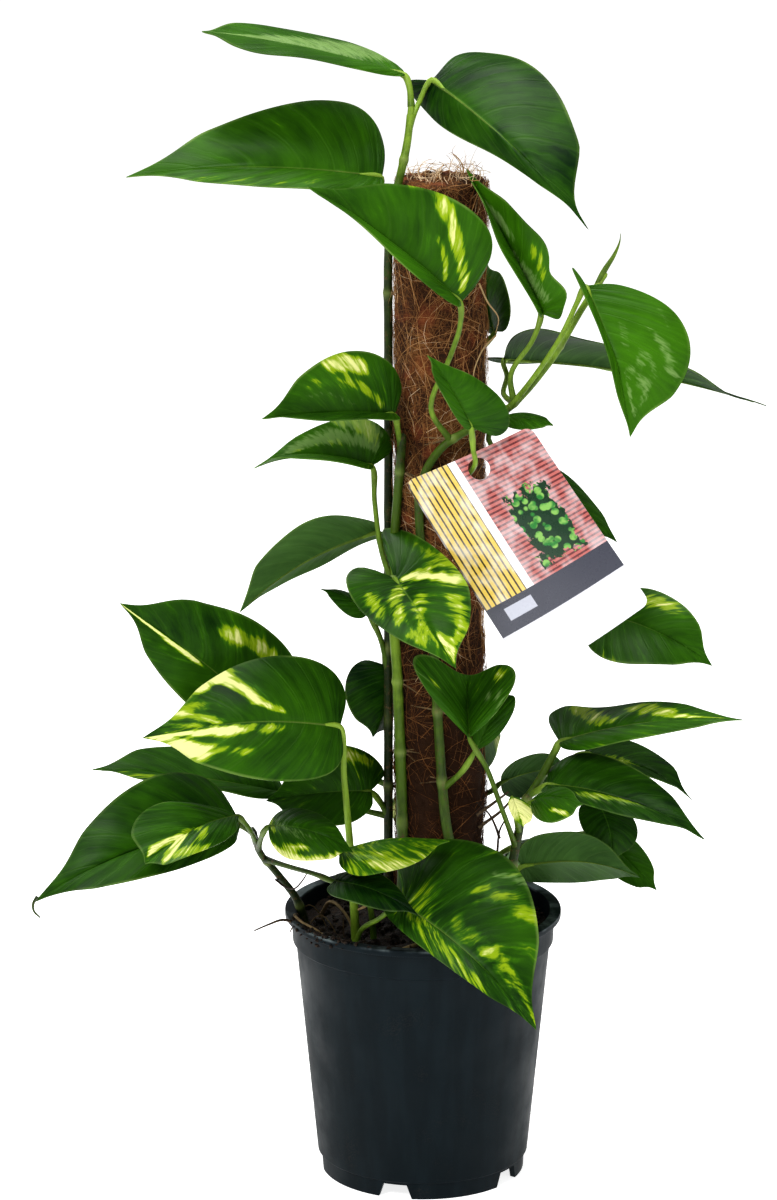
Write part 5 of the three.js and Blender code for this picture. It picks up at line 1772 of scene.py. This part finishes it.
def band(tree, value, limits):
    # 1 between two limits, with sharp printed edges
    above = calc(tree, "GREATER_THAN", value, limits[0])
    return times(tree, above, below(tree, value, limits[1]))


def scuffGroup():
    # soft scuffs of handling, in any size
    tree, source, result = newGroup("cardScuffs", {"Object": "Vector", "Scale": "Float"},
                                    {"Scuff": "Float"})
    tree.links.new(noiseOf(tree, source["Object"], source["Scale"], 4.0, 0.7), result["Scuff"])
    return tree


cardScuffs = scuffGroup()


def scuffOf(tree, scale):
    return useGroup(tree, cardScuffs, {"Object": objectPlace(tree), "Scale": scale})["Scuff"]


def printMaterial():
    # bands, a hedge and discs in plain garden colours over a white lower part
    s, look = cardPrint, cardLook
    material, tree, shader = newMaterial("cardPrint", Coat_Weight=0.35, Coat_Roughness=0.12,
                                         Specular_IOR_Level=0.45)
    uv = addNode(tree, "ShaderNodeUVMap", uv_map="print").outputs[0]
    x, y = parts(tree, uv)[:2]
    soft = noiseOf(tree, uv, 9.0, 3.0)
    rows = calc(tree, "FRACT", times(tree, y, s["courses"]))
    courses = mixed(tree, below(tree, rows, 0.42), look["brick"], look["mortar"])
    courses = mixed(tree, step(tree, soft, 0.35, 0.7, 0.0, 0.4), courses, look["white"])
    slats = calc(tree, "FRACT", times(tree, x, s["slats"]))
    fence = mixed(tree, below(tree, slats, 0.3), look["ochre"], look["umber"])
    fence = mixed(tree, step(tree, soft, 0.4, 0.7, 0.0, 0.45), fence, look["white"])
    colour = mixed(tree, below(tree, x, s["split"]), courses, fence)
    colour = mixed(tree, band(tree, x, s["post"]), colour, look["white"])

    # a hedge of leafy discs on the right, with a ragged outline
    spread = stretched(tree, uv, 17.0, 26.0, 1.0)
    tint = noiseOf(tree, spread, 0.7)
    leafy = mixed(tree, step(tree, tint, 0.42, 0.6), look["leafy"], look["lightLeafy"])
    leafy = mixed(tree, step(tree, cells(tree, spread, 1.0), 0.4, 0.52), leafy, look["deepLeafy"])
    hedgeX, hedgeY, hedgeSize = s["hedge"]
    away = calc(tree, "MAXIMUM", times(tree, awayFrom(tree, x, hedgeX), 1.1),
                awayFrom(tree, y, hedgeY))
    away = varied(tree, noiseOf(tree, uv, 16.0, 4.0, 0.65), 0.22, away)
    panel = times(tree, band(tree, y, s["panelUp"]), band(tree, x, s["panelAcross"]))
    for mask, overlay in [
            (below(tree, away, hedgeSize), leafy), (band(tree, y, s["sill"]), look["slate"]),
            (panel, look["mist"]), (below(tree, y, s["lower"]), look["white"]),
            (times(tree, band(tree, y, s["fog"]), 0.5), look["mist"])]:
        colour = mixed(tree, mask, colour, overlay)
    scuff = scuffOf(tree, 260.0)
    setSurface(tree, shader, colour, step(tree, scuff, 0.4, 0.75, 0.26, 0.42), scuff, 0.00004, 0.4)
    return material


def cardBackMaterial():
    material, tree, shader = newMaterial("cardBack", Specular_IOR_Level=0.4)
    scuff = scuffOf(tree, 180.0)
    colour = mixed(tree, step(tree, scuff, 0.45, 0.8, 0.0, 0.5), cardLook["back"],
                   cardLook["backScuff"])
    setSurface(tree, shader, colour, step(tree, scuff, 0.4, 0.75, 0.38, 0.55), scuff, 0.00004, 0.4)
    return material


def buildCard():
    s = cardShape
    bm = newBmesh()
    bm.loops.layers.uv.new("print")
    bmesh.ops.create_grid(bm, x_segments=s["columns"], y_segments=s["rows"], size=1,
                          calc_uvs=True)
    for vert in bm.verts:
        vert.co = place(cardPoint(*roundedCorner(vert.co.x, vert.co.y)))
    smoothed(bm)
    hole = bmesh.new()
    middle = place(cardPoint(s["holeAcross"], s["holeDown"]))
    bmesh.ops.create_cone(hole, cap_ends=True, segments=40, radius1=s["holeRadius"] * mm,
                          radius2=s["holeRadius"] * mm, depth=20 * mm,
                          matrix=Matrix.Translation(middle) @ Matrix.Rotation(math.pi / 2, 4, "X"))
    solidify = {"thickness": s["thickness"] * mm, "offset": 0, "material_offset": 1}
    bm = cut(bm, [None, None], [("SOLIDIFY", solidify)], hole)
    addPiece("hangingCard", bm, [printMaterial(), cardBackMaterial()], ["card"], 30)


buildCard()
print("card ready")
